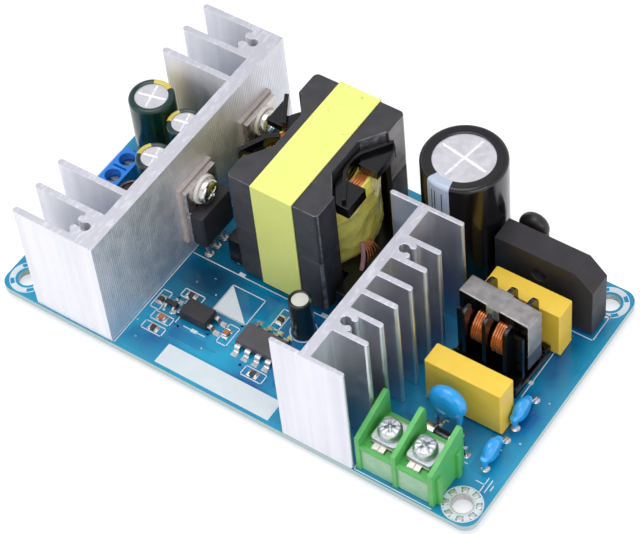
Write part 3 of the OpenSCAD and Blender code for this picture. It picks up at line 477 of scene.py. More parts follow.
@dataclass(frozen=True)
class PrintedSleeve(Finish):
    """Shrunk film sleeve, printed with a plain stripe that marks the negative lead. The stripe
    is a sector about the capacitor's own axis, so it runs over the rolled edge too."""

    axis: Point = (0.0, 0.0)
    stripe: str = "#c9cdd6"
    toward: float = 250.0
    half_width: float = 20.0
    bars: tuple[float, ...] = ()
    bar_half_width: float = 0.7
    bar_top: float = 0.0

    def paint(self, canvas: Canvas) -> Socket:
        """Gives the film with its stripe, and thin bars of film inside the stripe.

        Args:
            canvas: the material's nodes.

        Returns:
            The colour.
        """
        film = super().paint(canvas)
        centre = at(*self.axis)
        moved = canvas.add(
            "VectorMath", [canvas.place, (centre.x, centre.y, 0.0)], operation="SUBTRACT"
        ).outputs[0]
        turned = canvas.add(
            "VectorRotate", {"Vector": moved, "Angle": -math.radians(self.toward)},
            rotation_type="Z_AXIS",
        ).outputs[0]
        axes = canvas.add("SeparateXYZ", [turned]).outputs
        angle = canvas.add("Math", [axes[1], axes[0]], operation="ARCTAN2").outputs[0]
        share = self.sector(canvas, angle, 0.0, self.half_width)
        for bar in self.bars:
            gap = self.sector(canvas, angle, bar, self.bar_half_width)
            wall = canvas.add("Math", [axes[2], self.bar_top], operation="LESS_THAN").outputs[0]
            gap = canvas.add("Math", [gap, wall], operation="MULTIPLY").outputs[0]
            clear = canvas.add("Math", [1.0, gap], operation="SUBTRACT").outputs[0]
            share = canvas.add("Math", [share, clear], operation="MULTIPLY").outputs[0]
        colours = {0: share, MIX_A: film, MIX_B: linear(self.stripe)}
        return canvas.add("Mix", colours, data_type="RGBA").outputs[MIX_OUT]

    def sector(self, canvas: Canvas, angle: Socket, middle: float, half: float) -> Socket:
        """Gives 1 inside a sector.

        Args:
            canvas: the material's nodes.
            angle: the angle about the axis.
            middle, half: the sector's middle and half width in degrees.

        Returns:
            The value.
        """
        away = canvas.add("Math", [angle, math.radians(middle)], operation="SUBTRACT")
        size = canvas.add("Math", [away.outputs[0]], operation="ABSOLUTE").outputs[0]
        return canvas.add("Math", [size, math.radians(half)], operation="LESS_THAN").outputs[0]


# Grain and weave under about 0.3 mm are too fine to show on these materials, so each is drawn
# as coarse as it needs to show, and kept shallow.

# FR-4 laminate under screen-printed blue mask, without copper: glossy, teal to mid blue.
LAMINATE = MaskedLaminate(
    "solder_mask_on_laminate", "laminate", "#12a6d0", 0.2, "#075f9e", 0.95, 16.0,
    coat=0.1, grain_mm=0.5, grain_depth_mm=0.002,
)
# The same mask over etched copper: a shade darker and as glossy.
MASK_ON_COPPER = MaskedLaminate(
    "solder_mask_on_copper", "laminate", "#0a96c2", 0.2, "#065493", 1.0, 16.0,
    coat=0.1, grain_mm=0.5, grain_depth_mm=0.003, rim_mm=5.0,
)
# Screen-printed epoxy ink: matt and nearly white, with a little of the blue shining through.
WHITE_INK = Finish(
    "white_legend_ink", "laminate", "#dfe8ee", 0.6, "#d2dee7", 0.5, 3.0,
    grain_mm=0.15, grain_depth_mm=0.004,
)
# Wave-soldered tin: bright metal that flowed, so its gloss comes and goes.
TIN = Finish(
    "bright_solder", "tinned_copper", "#dcdcde", 0.26, "#b4b2ae", 0.5, 0.9, metallic=1.0,
    grain_mm=0.5, grain_depth_mm=0.01,
)
# Hot-air levelled tin on copper, aged: grey and satin.
DULL_TIN = Finish(
    "hot_air_levelled_tin", "tinned_copper", "#cbc8c6", 0.42, "#b5b0ae", 0.6, 1.2,
    metallic=0.7, grain_mm=0.5, grain_depth_mm=0.006,
)
# Extruded 6063 aluminium with a ribbed die: pale, satin, finely lined along its length.
ALUMINIUM = DrawnAluminium(
    "ribbed_aluminium", "heatsink_aluminium", "#efeff3", 0.56, "#dedee4", 0.5, 6.0,
    metallic=1.0, gloss_drift=0.04, grain_depth_mm=0.075,
)
# Extruded 6063 aluminium with a smooth die: a little glossier, with faint die lines.
PLAIN_ALUMINIUM = DrawnAluminium(
    "smooth_extruded_aluminium", "heatsink_aluminium", "#e6e6ec", 0.4, "#cfcfd8", 0.5, 6.0,
    metallic=1.0, gloss_drift=0.04, grain_depth_mm=0.014,
)
# Pressed insulating sheet: warm grey and dull.
MICA = Finish(
    "insulating_sheet", "pad_sheet", "#c6bcb8", 0.5, "#b3a6a2", 0.6, 2.0, grain_mm=0.2,
)
# Transfer-moulded epoxy: near black and satin, with the mould's spark-eroded grain.
EPOXY = Finish(
    "moulded_epoxy", "moulding_black", "#2f2d31", 0.5, "#232125", 0.6, 3.0,
    grain_mm=0.09, grain_depth_mm=0.004,
)
# Transfer-moulded epoxy with much silica: the same surface in dark grey.
GREY_EPOXY = Finish(
    "silica_filled_epoxy", "moulding_black", "#56545a", 0.5, "#48464b", 0.6, 3.0,
    grain_mm=0.09, grain_depth_mm=0.004,
)
# Stamped copper frame, tin plated: warm and bright.
TINNED_FRAME = Finish(
    "tinned_device_frame", "device_frame", "#e4dcd6", 0.3, "#c5b9b2", 0.6, 2.5,
    metallic=1.0, grain_mm=0.2, grain_depth_mm=0.006,
)
# Moulded natural nylon: milky and half glossy.
NYLON = Finish(
    "natural_nylon", "bush_nylon", "#ece9e2", 0.35, "#dcd6ca", 0.5, 2.0, ior=1.53,
)
# Cold-headed steel, nickel plated: bright, faintly warm.
NICKEL = Finish(
    "nickel_plated_steel", "nickel_screw", "#e3e1dc", 0.24, "#c2bdb3", 0.6, 0.9,
    metallic=1.0, grain_mm=0.4, grain_depth_mm=0.006,
)
# Cold-headed steel, barrel-zinc plated: cool grey and satin.
ZINC = Finish(
    "zinc_plated_steel", "nickel_screw", "#d6dadc", 0.42, "#b9bec1", 0.7, 0.9,
    metallic=1.0, grain_mm=0.3, grain_depth_mm=0.008,
)
# Sintered ferrite, ground: charcoal, matt and stony with pale chips.
FERRITE = GroundFerrite(
    "ground_ferrite", "ferrite", "#3b393c", 0.5, "#29282b", 0.8, 3.5,
    grain_mm=0.35, grain_depth_mm=0.012,
)
# The same ferrite painted a paler grey in patches along the rounded edges: a painted highlight.
FERRITE_EDGE_HIGHLIGHT = Finish(
    "ferrite_painted_edge_highlight", "ferrite", "#87858a", 0.42, "#454347", 0.9, 1.4,
    grain_mm=0.3, grain_depth_mm=0.01,
)
# The same ferrite on the far leg's outer face: smoother, and painted paler as its reflection.
FERRITE_PAINTED_REFLECTION = Finish(
    "ferrite_painted_reflection", "ferrite", "#9c9594", 0.3, "#7d7779", 0.8, 4.0,
    grain_mm=0.4, grain_depth_mm=0.004,
)
# Compression-moulded black phenolic: the deepest black, with a glossy skin.
PHENOLIC = Finish(
    "black_phenolic", "bobbin_black", "#09080a", 0.2, "#050405", 0.6, 2.5,
    gloss_drift=0.04, grain_mm=0.6, grain_depth_mm=0.004,
)
# Polyester tape, wound by hand: yellow, glossy and slightly uneven.
COIL_TAPE = SmoothTape(
    "wound_polyester_tape", "coil_tape", "#fff67c", 0.24, "#f9e860", 0.8, 3.0, coat=0.4,
    grain_mm=1.1, grain_depth_mm=0.02,
)
# Polyester tape, drawn tight: pale yellow-green, flat and satin.
CORE_TAPE = SmoothTape(
    "core_polyester_tape", "core_tape", "#f3f98c", 0.34, "#eff47f", 0.5, 5.0,
    grain_mm=0.6, grain_depth_mm=0.006,
)
# Deep-drawn can aluminium: soft mirror that is faintly grained.
CAN = Finish(
    "drawn_can_aluminium", "can_aluminium", "#e6e5e7", 0.36, "#dbd8da", 0.5, 2.5,
    metallic=1.0, grain_mm=0.12, grain_depth_mm=0.003,
)
# Etched can aluminium: nearly white and satin.
PALE_CAN = Finish(
    "satin_can_aluminium", "can_aluminium", "#f1f1ec", 0.5, "#e3e3dd", 0.5, 2.0,
    metallic=0.15, grain_mm=0.8, grain_depth_mm=0.001,
)
# The flanks of the coined cross: white, a painted highlight, the brightest part of the can's
# top.
CROSS_PAINTED_HIGHLIGHT = Finish(
    "coined_cross_painted_highlight", "can_aluminium", "#ffffff", 0.3, "#f4f4f6", 0.4, 1.0, metallic=0.3,
)
# Heat-shrunk brown film: dark and very glossy.
BROWN_FILM = Finish(
    "brown_shrink_film", "inductor_film", "#33201c", 0.2, "#1f1413", 0.7, 1.5, coat=0.2,
)
# Moulded polyester case: warm yellow, half matt.
YELLOW_BOX = Finish(
    "yellow_polyester_case", "film_box", "#ffd94f", 0.36, "#fad03e", 0.7, 4.0,
    grain_mm=0.3, grain_depth_mm=0.006,
)
# Sintered ferrite under clear lacquer: grey with a metallic sheen and pale flecks.
GREY_FERRITE = GroundFerrite(
    "lacquered_ferrite", "choke_ferrite", "#a9a6a3", 0.36, "#83807d", 0.7, 2.2,
    metallic=0.8, grain_mm=0.3, grain_depth_mm=0.008, fleck="#f0efee",
)
# The same ferrite where the lacquer ends: darker and cooler.
BARE_FERRITE = GroundFerrite(
    "bare_grey_ferrite", "choke_ferrite", "#5c6168", 0.4, "#43474d", 0.7, 2.2,
    metallic=0.5, grain_mm=0.3, grain_depth_mm=0.008, fleck="#8d9095",
)
# Enamelled copper wire: orange under a clear glossy coat.
COPPER = Finish(
    "enamelled_copper", "copper_wire", "#ffa868", 0.22, "#f0843e", 0.7, 1.2, metallic=0.7,
    coat=0.8, grain_mm=0.4, grain_depth_mm=0.003,
)
# Foil tape seen through its olive film: dull green-grey, glossy.
FOIL_TAPE = Finish(
    "olive_film_tape", "silver_tape", "#a9a983", 0.25, "#8f8f6c", 0.7, 1.0, coat=0.3,
)
# Foil tape without the film: bright metal.
BRIGHT_TAPE = Finish(
    "bare_foil_tape", "silver_tape", "#e2e2de", 0.25, "#c4c4c0", 0.7, 1.0, metallic=0.8,
)
# Transfer-moulded epoxy of the rectifier: near black and matt.
BRIDGE_EPOXY = Finish(
    "moulded_rectifier_epoxy", "rectifier_epoxy", "#2e2b2f", 0.55, "#1f1c20", 0.7, 5.0,
    grain_mm=0.12, grain_depth_mm=0.004,
)
# Dipped epoxy: bright blue and wet-looking.
BLUE_DIP = Finish(
    "blue_epoxy_dip", "blue_dip", "#2bb0ff", 0.2, "#1f9ff2", 0.6, 2.5, coat=0.5,
    grain_mm=0.9, grain_depth_mm=0.01,
)
# Dipped phenolic: brown-black and half matt.
DARK_DIP = Finish(
    "dark_phenolic_dip", "dark_dip", "#262220", 0.4, "#191615", 0.6, 1.5,
    grain_mm=0.3, grain_depth_mm=0.01,
)
# Shrunk sleeve on the fuse: blue-black and glossy.
FUSE_TUBE = Finish(
    "fuse_sleeve", "fuse_tube", "#1f2024", 0.2, "#15161a", 0.6, 1.5, coat=0.2,
)
# Drawn brass cap, nickel plated: bright and warm.
FUSE_CAP = Finish(
    "nickel_fuse_cap", "fuse_metal", "#e6e1d6", 0.18, "#c2bbad", 0.6, 0.9, metallic=1.0,
)
# Moulded green nylon: fresh green, half glossy.
GREEN_NYLON = Finish(
    "green_nylon", "green_housing", "#5cc061", 0.36, "#52b358", 0.7, 3.5, ior=1.53,
    grain_mm=0.4, grain_depth_mm=0.008,
)
# The same nylon in a thin panel, painted paler for the light that comes through it.
THIN_GREEN_PAINTED_GLOW = Finish(
    "thin_green_nylon_painted_glow", "green_housing", "#b2dab4", 0.32, "#98cda0", 0.8, 3.0, ior=1.53,
    grain_mm=0.4, grain_depth_mm=0.008,
)
# Moulded blue nylon: strong blue, half glossy.
BLUE_NYLON = Finish(
    "blue_nylon", "blue_housing", "#1f8cf0", 0.3, "#187cdc", 0.6, 2.5, ior=1.53,
)
# Stamped steel, tin plated: greyish and satin.
PLATED_STEEL = Finish(
    "tin_plated_steel", "plated_steel", "#c9c4b9", 0.34, "#aea89c", 0.6, 1.2,
    metallic=1.0, grain_mm=0.3, grain_depth_mm=0.006,
)
# Fired capacitor ceramic: tan and dull.
TAN_CERAMIC = Finish("tan_ceramic", "moulding_black", "#bb7c52", 0.45, "#a5673f", 0.6, 0.5)
# Fired glaze over a chip resistor: dark brown, half glossy.
DARK_CERAMIC = Finish("resistor_glaze", "moulding_black", "#4a3c38", 0.35, "#352b29", 0.6, 0.5)
# Extruded silicone sleeve: dusty pink, half matt.
PINK_SLEEVE = Finish("heat_resistant_sleeve", "coil_tape", "#c79199", 0.4, "#a37780", 0.6, 1.0)


# ---- mesh work ---------------------------------------------------------------------------


class Draft:
    """A mesh under construction."""

    def __init__(self, mesh: bmesh.types.BMesh | None = None) -> None:
        """Starts empty, or from a mesh."""
        self.mesh = mesh or bmesh.new()

    def row(self, place: Matrix, points: Iterable[Sequence[float]]) -> Row:
        """Adds points, given in a place's own millimetres."""
        return [self.mesh.verts.new(place @ Vector(point)) for point in points]

    def prism(self, outline: Sequence[Point], low: float, high: float) -> "Draft":
        """Adds an upright prism over an outline on the board, counter-clockwise."""
        return self.slab(outline, seat(0, 0), low, high)

    def block(
        self, x0: float, y0: float, x1: float, y1: float, low: float, high: float
    ) -> "Draft":
        """Adds an upright block between two corners on the board."""
        return self.prism([(x0, y0), (x1, y0), (x1, y1), (x0, y1)], low, high)

    def slab(
        self, outline: Sequence[Point], place: Matrix, low: float, high: float
    ) -> "Draft":
        """Adds a prism along the local Z of a place.

        Args:
            outline: its corners, counter-clockwise.
            place: the matrix from local millimetres.
            low, high: where it starts and ends along Z.

        Returns:
            This draft.
        """
        rings = [self.row(place, ((x, y, z) for x, y in outline)) for z in (low, high)]
        self.mesh.faces.new(rings[1])
        self.mesh.faces.new(rings[0][::-1])
        return self.weave(rings, along=True)

    def strips(self, path: Sequence[Point], width: float, low: float, high: float) -> None:
        """Adds a flat bar between each two places of a path on the board.

        Args:
            path: the places, past which each bar runs on by half its width.
            width: the bars' width.
            low, high: their lower and upper height.
        """
        for a, b in zip(path, path[1:]):
            run = (Vector(b) - Vector(a)).normalized() * width / 2
            side = Vector((-run.y, run.x))
            a, b = Vector(a) - run, Vector(b) + run
            self.prism([a - side, b - side, b + side, a + side], low, high)

    def ring(
        self, x: float, y: float, inner: float, outer: float, low: float, high: float,
        start: float = 0.0, end: float = 360.0, steps: int = 64,
    ) -> "Draft":
        """Adds a flat ring, or a part of one.

        Args:
            x, y: its centre on the board.
            inner, outer: its radii.
            low, high: its lower and upper height.
            start, end: the angles in degrees that it runs between.
            steps: sides of a whole ring.

        Returns:
            This draft.
        """
        whole = end - start >= 360
        count = max(2, round(steps * (end - start) / 360))
        turns = [
            math.radians(start + (end - start) * k / count)
            for k in range(count if whole else count + 1)
        ]
        rows = [
            self.row(seat(x, y), ((r * math.cos(t), r * math.sin(t), z) for t in turns))
            for r, z in ((inner, low), (outer, low), (outer, high), (inner, high))
        ]
        self.weave(rows, around=True, along=whole)
        if not whole:
            self.mesh.faces.new([row[0] for row in rows])
            self.mesh.faces.new([row[-1] for row in rows][::-1])
        return self

    def weave(
        self, rows: Sequence[Row], around: bool = False, along: bool = False
    ) -> "Draft":
        """Joins rows of points with faces; a row may be a single point.

        Args:
            rows: the rows.
            around: whether the last row joins the first.
            along: whether each row's end joins its start.

        Returns:
            This draft.
        """
        steps = max(len(row) for row in rows)
        for k in range(len(rows) if around else len(rows) - 1):
            one, two = rows[k], rows[(k + 1) % len(rows)]
            for n in range(steps if along else steps - 1):
                m = (n + 1) % steps
                corners = [one[n % len(one)], one[m % len(one)]]
                corners += [two[m % len(two)], two[n % len(two)]]
                self.mesh.faces.new(list(dict.fromkeys(corners)))
        return self

    def turned(
        self, profile: Sequence[Point], place: Matrix, steps: int = 64, loop: bool = False
    ) -> "Draft":
        """Adds a turned solid.

        Args:
            profile: radius and height of each point; radius 0 closes an end.
            place: the matrix from local millimetres, whose Z is the axis.
            steps: sides of the turned solid.
            loop: whether the profile is a closed section away from the axis.

        Returns:
            This draft.
        """
        rows = [self.row(place, circle(r, z, steps)) for r, z in profile]
        return self.weave(rows, around=loop, along=True)

    def wire(self, path: Sequence[Vector], thick: float, sides: int = 10) -> "Draft":
        """Adds a round wire.

        Args:
            path: its points in the frame, in metres.
            thick: its diameter in millimetres.
            sides: sides of its section.

        Returns:
            This draft.
        """
        rows, side = [], None
        for k, point in enumerate(path):
            run = (path[min(k + 1, len(path) - 1)] - path[max(k - 1, 0)]).normalized()
            side = run.orthogonal() if side is None else side - run * side.dot(run)
            side = side.normalized()
            up = run.cross(side)
            rows.append([
                self.mesh.verts.new(point + side * x + up * y)
                for x, y, _ in circle(thick / 2 * MM, 0.0, sides)
            ])
        self.weave(rows, along=True)
        self.mesh.faces.new(rows[0][::-1])
        self.mesh.faces.new(rows[-1])
        return self

    def bevel(self, edge: float, steps: int = 2, angle: float = 30.0) -> "Draft":
        """Rounds every sharp edge.

        Args:
            edge: the rounding in millimetres.
            steps: faces across the rounding.
            angle: edges sharper than this, in degrees, are rounded.

        Returns:
            This draft.
        """
        self.mesh.normal_update()
        sharp = [
            e for e in self.mesh.edges
            if len(e.link_faces) == 2 and e.calc_face_angle(0) > math.radians(angle)
        ]
        bmesh.ops.bevel(
            self.mesh, geom=sharp, offset=edge * MM, offset_type="OFFSET", segments=steps,
            profile=0.5, affect="EDGES", clamp_overlap=False,
        )
        return self

    def cut(self, place: Vector, normal: Sequence[float]) -> "Draft":
        """Cuts the faces along a plane, so that each side can have its own finish.

        Args:
            place: a place on the plane.
            normal: the plane's normal.

        Returns:
            This draft.
        """
        parts = self.mesh.verts[:] + self.mesh.edges[:] + self.mesh.faces[:]
        bmesh.ops.bisect_plane(self.mesh, geom=parts, plane_co=place, plane_no=normal)
        return self

    def bend(self, move: Move) -> "Draft":
        """Moves every point.

        Args:
            move: gives a point's new place from its old one, in metres.

        Returns:
            This draft.
        """
        for vert in self.mesh.verts:
            vert.co = move(vert.co)
        return self

    def piece(
        self, name: str, finish: Finish, stands_for: Iterable[str] = (),
        zones: Zones = lambda place, normal: 0, others: Sequence[Finish] = (),
        angle: float = 38.0,
    ) -> None:
        """Makes the draft a piece of the model and the nodes it replaces.

        Args:
            name: the piece's name.
            finish: its finish.
            stands_for: the CAD nodes that it replaces.
            zones: gives a face's finish number from its centre, in millimetres on the
                board, and its normal.
            others: the finishes after the first.
            angle: edges sharper than this, in degrees, stay crisp.
        """
        bmesh.ops.recalc_face_normals(self.mesh, faces=self.mesh.faces)
        for face in self.mesh.faces:
            place = (face.calc_center_median() - at(0, 0)) / MM
            face.material_index = zones(place, face.normal)
        data = bpy.data.meshes.new(name)
        self.mesh.to_mesh(data)
        self.mesh.free()
        for one in (finish, *others):
            data.materials.append(one.material())
        data.shade_smooth()
        data.set_sharp_from_angle(angle=math.radians(angle))
        made = bpy.data.objects.new(name, data)
        bpy.context.scene.collection.objects.link(made)
        made.modifiers.new("even_shading", "WEIGHTED_NORMAL").keep_sharp = True
        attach(made, "root")
        nodes = tuple(stands_for)
        if nodes:
            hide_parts(*nodes)
        LOG.info("%s: %s, replaces %s", name, finish.name, ", ".join(nodes) or "nothing")


def dress_node(node: str, finish: Finish) -> None:
    """Gives a CAD node that stays in view its finish.

    Args:
        node: the CAD node.
        finish: its finish.
    """
    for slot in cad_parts[node].material_slots:
        slot.material = finish.material()
    LOG.info("%s: CAD solid in %s", node, finish.name)


def copied(node: str) -> Draft:
    """Copies a node's form with its flat faces whole.

    Args:
        node: the CAD node.

    Returns:
        A draft of the copy.
    """
    mesh = welded(node)
    bmesh.ops.dissolve_limit(
        mesh, angle_limit=math.radians(0.4), verts=mesh.verts, edges=mesh.edges
    )
    return Draft(mesh)


def eased(
    node: str, name: str, finish: Finish, edge: float, steps: int = 2, angle: float = 30.0
) -> None:
    """Makes a piece of a CAD node's own form with its sharp edges rounded.

    Args:
        node: the CAD node, which the piece replaces.
        name: the piece's name.
        finish: its finish.
        edge: the rounding in millimetres.
        steps: faces across the rounding.
        angle: edges sharper than this, in degrees, are rounded.
    """
    copied(node).bevel(edge, steps, angle).piece(name, finish, [node])


def bowed(head: Vector, foot: Vector, bow: float, steps: int = 8) -> list[Vector]:
    """Gives the path of a wire that bows out between two places.

    Args:
        head, foot: the places in the frame.
        bow: how far it bows toward the board's right side, in millimetres.
        steps: the path's number of parts.

    Returns:
        Its points in the frame.
    """
    shares = [k / steps for k in range(steps + 1)]
    out = Vector((bow * MM, 0, 0))
    return [head.lerp(foot, share) + out * math.sin(math.pi * share) for share in shares]


def ribbon(path: Sequence[Point], thick: float) -> list[Vector]:
    """Gives the outline of a bent strip.

    Args:
        path: the places along its middle.
        thick: its thickness.

    Returns:
        Its closed outline.
    """
    outer, inner = [], []
    for k, here in enumerate(path):
        ahead = Vector(path[min(k + 1, len(path) - 1)]) - Vector(path[max(k - 1, 0)])
        away = Vector((-ahead.y, ahead.x)).normalized() * thick / 2
        outer.append(Vector(here) + away)
        inner.append(Vector(here) - away)
    return outer + inner[::-1]


def melted(draft: Draft, voxel: float, passes: int) -> Draft:
    """Runs the solids of a draft into one smooth skin, as a dip coating does.

    Args:
        draft: the solids.
        voxel: the new mesh's spacing in millimetres.
        passes: how often it is smoothed.

    Returns:
        A draft of the skin.
    """
    bmesh.ops.recalc_face_normals(draft.mesh, faces=draft.mesh.faces)
    data = bpy.data.meshes.new("dip")
    draft.mesh.to_mesh(data)
    draft.mesh.free()
    work = bpy.data.objects.new("dip", data)
    bpy.context.scene.collection.objects.link(work)
    skin = work.modifiers.new("skin", "REMESH")
    skin.mode, skin.voxel_size = "VOXEL", voxel * MM
    work.modifiers.new("soft", "SMOOTH").iterations = passes
    seen = work.evaluated_get(bpy.context.evaluated_depsgraph_get())
    mesh = bmesh.new()
    mesh.from_mesh(seen.to_mesh())
    seen.to_mesh_clear()
    bpy.data.objects.remove(work)
    bpy.data.meshes.remove(data)
    return Draft(mesh)


# ---- board -------------------------------------------------------------------------------


@dataclass
class Board:
    """The printed circuit board: mask, legend, pads, vias and solder."""

    length: float = (BOARD_HIGH.x - BOARD_LOW.x) / MM
    width: float = (BOARD_HIGH.y - BOARD_LOW.y) / MM
    thickness: float = (BOARD_HIGH.z - BOARD_LOW.z) / MM
    copper: float = 0.035
    ink: float = 0.025
    track: float = 0.5
    line: float = 0.22
    chamfer: float = 0.8
    hole_inset: float = 4.5
    hole_d: float = 4.3
    ring_d: Point = (5.5, 8.1)  # the legend's ring round a plain mounting hole
    rim: float = 0.2
    pad_share: float = 0.92  # a top pad's diameter against the joint's
    pours: tuple[Box, ...] = (
        (9.6, 1.0, 29.6, 27.0), (31.6, 1.0, 72.0, 6.6), (31.6, 20.4, 54.4, 27.2),
        (38.6, 7.6, 47.6, 10.2), (64.4, 8.0, 79.0, 27.2), (108.9, 11.8, 116.0, 24.6),
        (108.9, 29.9, 116.0, 58.2), (90.6, 13.6, 100.0, 17.2), (84.0, 58.4, 107.6, 65.0),
        (1.0, 11.0, 9.0, 56.0),
    )
    tracks: tuple[tuple[Point, ...], ...] = (
        ((33.0, 14.2), (38.6, 14.2), (40.0, 12.8)),
        ((35.4, 18.4), (35.4, 16.6), (33.6, 16.6)),
        ((36.2, 10.6), (39.4, 10.6), (41.0, 9.0), (50.0, 9.0)),
        ((50.0, 12.4), (53.0, 12.4), (53.6, 11.8)),
        ((50.0, 16.4), (51.0, 17.4), (62.4, 17.4), (63.4, 18.4)),
        ((56.2, 11.0), (56.2, 9.2), (57.6, 8.6)),
        ((61.0, 8.6), (63.2, 8.6)),
        ((57.4, 22.0), (57.4, 20.6)),
        ((44.8, 12.0), (46.0, 12.0), (48.0, 14.0)),
        ((110.4, 27.0), (110.4, 29.4)),
        ((113.6, 25.4), (113.6, 29.2)),
    )
    vias: tuple[Point, ...] = (
        (31.2, 7.7), (36.0, 22.0), (39.0, 24.6), (41.6, 21.2), (54.0, 19.0), (60.6, 12.0),
        (65.6, 14.2), (68.4, 10.0), (47.0, 8.4), (33.4, 4.0), (72.6, 20.2), (75.0, 12.4),
        (114.8, 22.2), (114.8, 33.4), (110.2, 50.2), (114.6, 52.4),
    )
    outlines: tuple[Box, ...] = (
        (31.2, 11.9, 33.5, 16.9), (35.1, 17.4, 40.1, 19.5), (33.0, 9.5, 37.8, 11.6),
        (32.8, 6.5, 37.9, 8.6), (48.5, 11.5, 51.0, 16.6), (57.5, 7.4, 62.6, 9.8),
        (55.9, 20.3, 58.0, 25.6), (43.1, 17.9, 51.4, 25.3),
    )
    lines: tuple[tuple[Point, ...], ...] = (
        ((30.45, 0.6), (30.45, 65.4)),
        ((30.9, 28.05), (70.4, 28.05), (70.4, 60.6)),
        ((109.2, 27.9), (109.2, 46.0)),
        ((107.9, 0.35), (90.0, 0.35), (90.0, 12.9), (108.3, 12.9)),
        ((40.5, 11.2), (42.2, 11.2)),
        ((44.0, 11.2), (45.8, 11.2)),
        ((38.4, 11.2), (38.4, 13.0)),
        ((111.9, 10.5), (113.8, 10.5)),
        ((113.8, 8.7), (113.8, 12.2)),
        ((114.7, 9.0), (114.7, 12.0)),
        ((115.5, 9.9), (115.5, 11.0)),
        ((111.7, 16.9), (111.7, 17.9), (112.4, 17.9)),
        ((111.7, 20.1), (111.7, 19.0), (112.4, 19.0)),
        ((97.2, 19.2), (97.9, 19.2), (97.9, 18.5)),
        ((99.9, 19.4), (99.2, 19.4), (99.2, 18.6)),
        ((90.6, 51.3), (114.3, 51.3), (114.3, 58.3), (90.6, 58.3)),
    )
    blanks: tuple[Point, ...] = ((43.2, 28.5), (64.0, 28.6), (43.1, 11.2), (108.8, 35.9))
    blank: Point = (1.5, 0.8)
    block: Box = (40.6, 0.85, 68.9, 6.0)
    quarters: tuple[tuple[Point, ...], ...] = (  # the filled ones of the last outline
        ((43.1, 17.9), (51.4, 17.9), (47.25, 21.6)),
        ((43.1, 17.9), (47.25, 21.6), (43.1, 25.3)),
    )
    part_rings: tuple[Box, ...] = (  # x, y, inner and outer radius
        (62.6, 23.0, 2.75, 2.97), (81.3, 56.6, 9.3, 9.55),
    )
    earth_rims: tuple[Point, ...] = ((2.45, 2.72), (3.95, 4.2))
    earth_via_r: float = 3.33  # from the hole's middle to its vias

    def build(self) -> None:
        """Builds everything that belongs to the board."""
        dress_node("board", LAMINATE)
        self.copper_areas()
        self.legend()
        self.plated_hole()
        self.pads()
        self.solder()

    def copper_areas(self) -> None:
        """Raises the mask where copper lies under it; no two tracks are quite level."""
        draft, c = Draft(), self.chamfer
        for x0, y0, x1, y1 in self.pours:
            corners = [(x0 + c, y0), (x1 - c, y0), (x1, y0 + c), (x1, y1 - c)]
            corners += [(x1 - c, y1), (x0 + c, y1), (x0, y1 - c), (x0, y0 + c)]
            draft.prism(corners, 0.0, self.copper)
        for k, track in enumerate(self.tracks, 1):
            draft.strips(track, self.track, 0.0, self.copper - 0.001 * k)
        draft.piece("copper_areas", MASK_ON_COPPER)

    def legend(self) -> None:
        """Prints the white legend: outlines of parts, hole rings, and plain bare blocks."""
        draft, low, high = Draft(), 0.0, self.copper + self.ink
        for x0, y0, x1, y1 in self.outlines:
            corners = [(x0, y0), (x1, y0), (x1, y1), (x0, y1), (x0, y0)]
            draft.strips(corners, self.line, low, high)
        for line in self.lines:
            draft.strips(line, self.line, low, high)
        u, v = self.blank[0] / 2, self.blank[1] / 2
        for x, y in self.blanks:
            draft.block(x - u, y - v, x + u, y + v, low, high + 0.002)
        draft.block(*self.block, low, high)
        for quarter in self.quarters:
            draft.prism(quarter, low, high)
        for ring in self.part_rings:
            draft.ring(*ring, low, high)
        near, far, right = (
            self.hole_inset, self.width - self.hole_inset, self.length - self.hole_inset,
        )
        inner, outer = self.ring_d[0] / 2, self.ring_d[1] / 2
        for x, y in ((near, near), (near, far), (right, far)):
            for turn in range(0, 360, 90):
                draft.ring(x, y, inner, outer, low, high, turn + 58, turn + 122)
                for r in (inner, outer - self.rim):
                    draft.ring(x, y, r, r + self.rim, low, high, turn + 32, turn + 58)
        draft.piece("board_legend", WHITE_INK)

    def plated_hole(self) -> None:
        """Builds the earthed mounting hole: its ring, its lining and its eight vias."""
        x, y = self.length - self.hole_inset, self.hole_inset
        low, high, radius = 0.0, self.copper + self.ink, self.hole_d / 2
        white, metal = Draft(), Draft()
        for inner, outer in self.earth_rims:
            white.ring(x, y, inner, outer, low, high)
        metal.ring(x, y, radius - 0.05, radius + 0.01, -self.thickness, high)
        metal.ring(x, y, radius - 0.04, 2.47, low, self.copper)
        for turn in range(0, 360, 45):
            white.ring(x, y, 2.7, 4.0, low, high, turn - 10, turn + 10)
            half, r = math.radians(turn + 22.5), self.earth_via_r
            metal.turned(
                [(0, 0.12), (0.3, 0.16), (0.55, 0.14), (0.68, 0.08), (0.72, 0.0), (0, -0.02)],
                seat(x + r * math.cos(half), y + r * math.sin(half)), 24,
            )
        white.piece("earth_ring_legend", WHITE_INK)
        metal.piece("earth_ring_metal", DULL_TIN)

    def pads(self) -> None:
        """Builds the tinned pads with small fillets on the top face, and the vias."""
        draft = Draft()
        for joint in solids_of("solder_joints"):
            r = joint.size.x / 2 * self.pad_share
            draft.turned(
                [(0, 0.1), (r * 0.45, 0.3), (r * 0.62, 0.14), (r * 0.9, 0.06), (r, 0.0),
                 (0, -0.01)], seat(joint.middle.x, joint.middle.y), 28,
            )
        for x, y in self.vias:
            draft.turned(
                [(0, 0.03), (0.1, 0.035), (0.16, 0.06), (0.22, 0.055), (0.24, 0.0), (0, -0.01)],
                seat(x, y), 16,
            )
        draft.piece("top_pads", TIN)

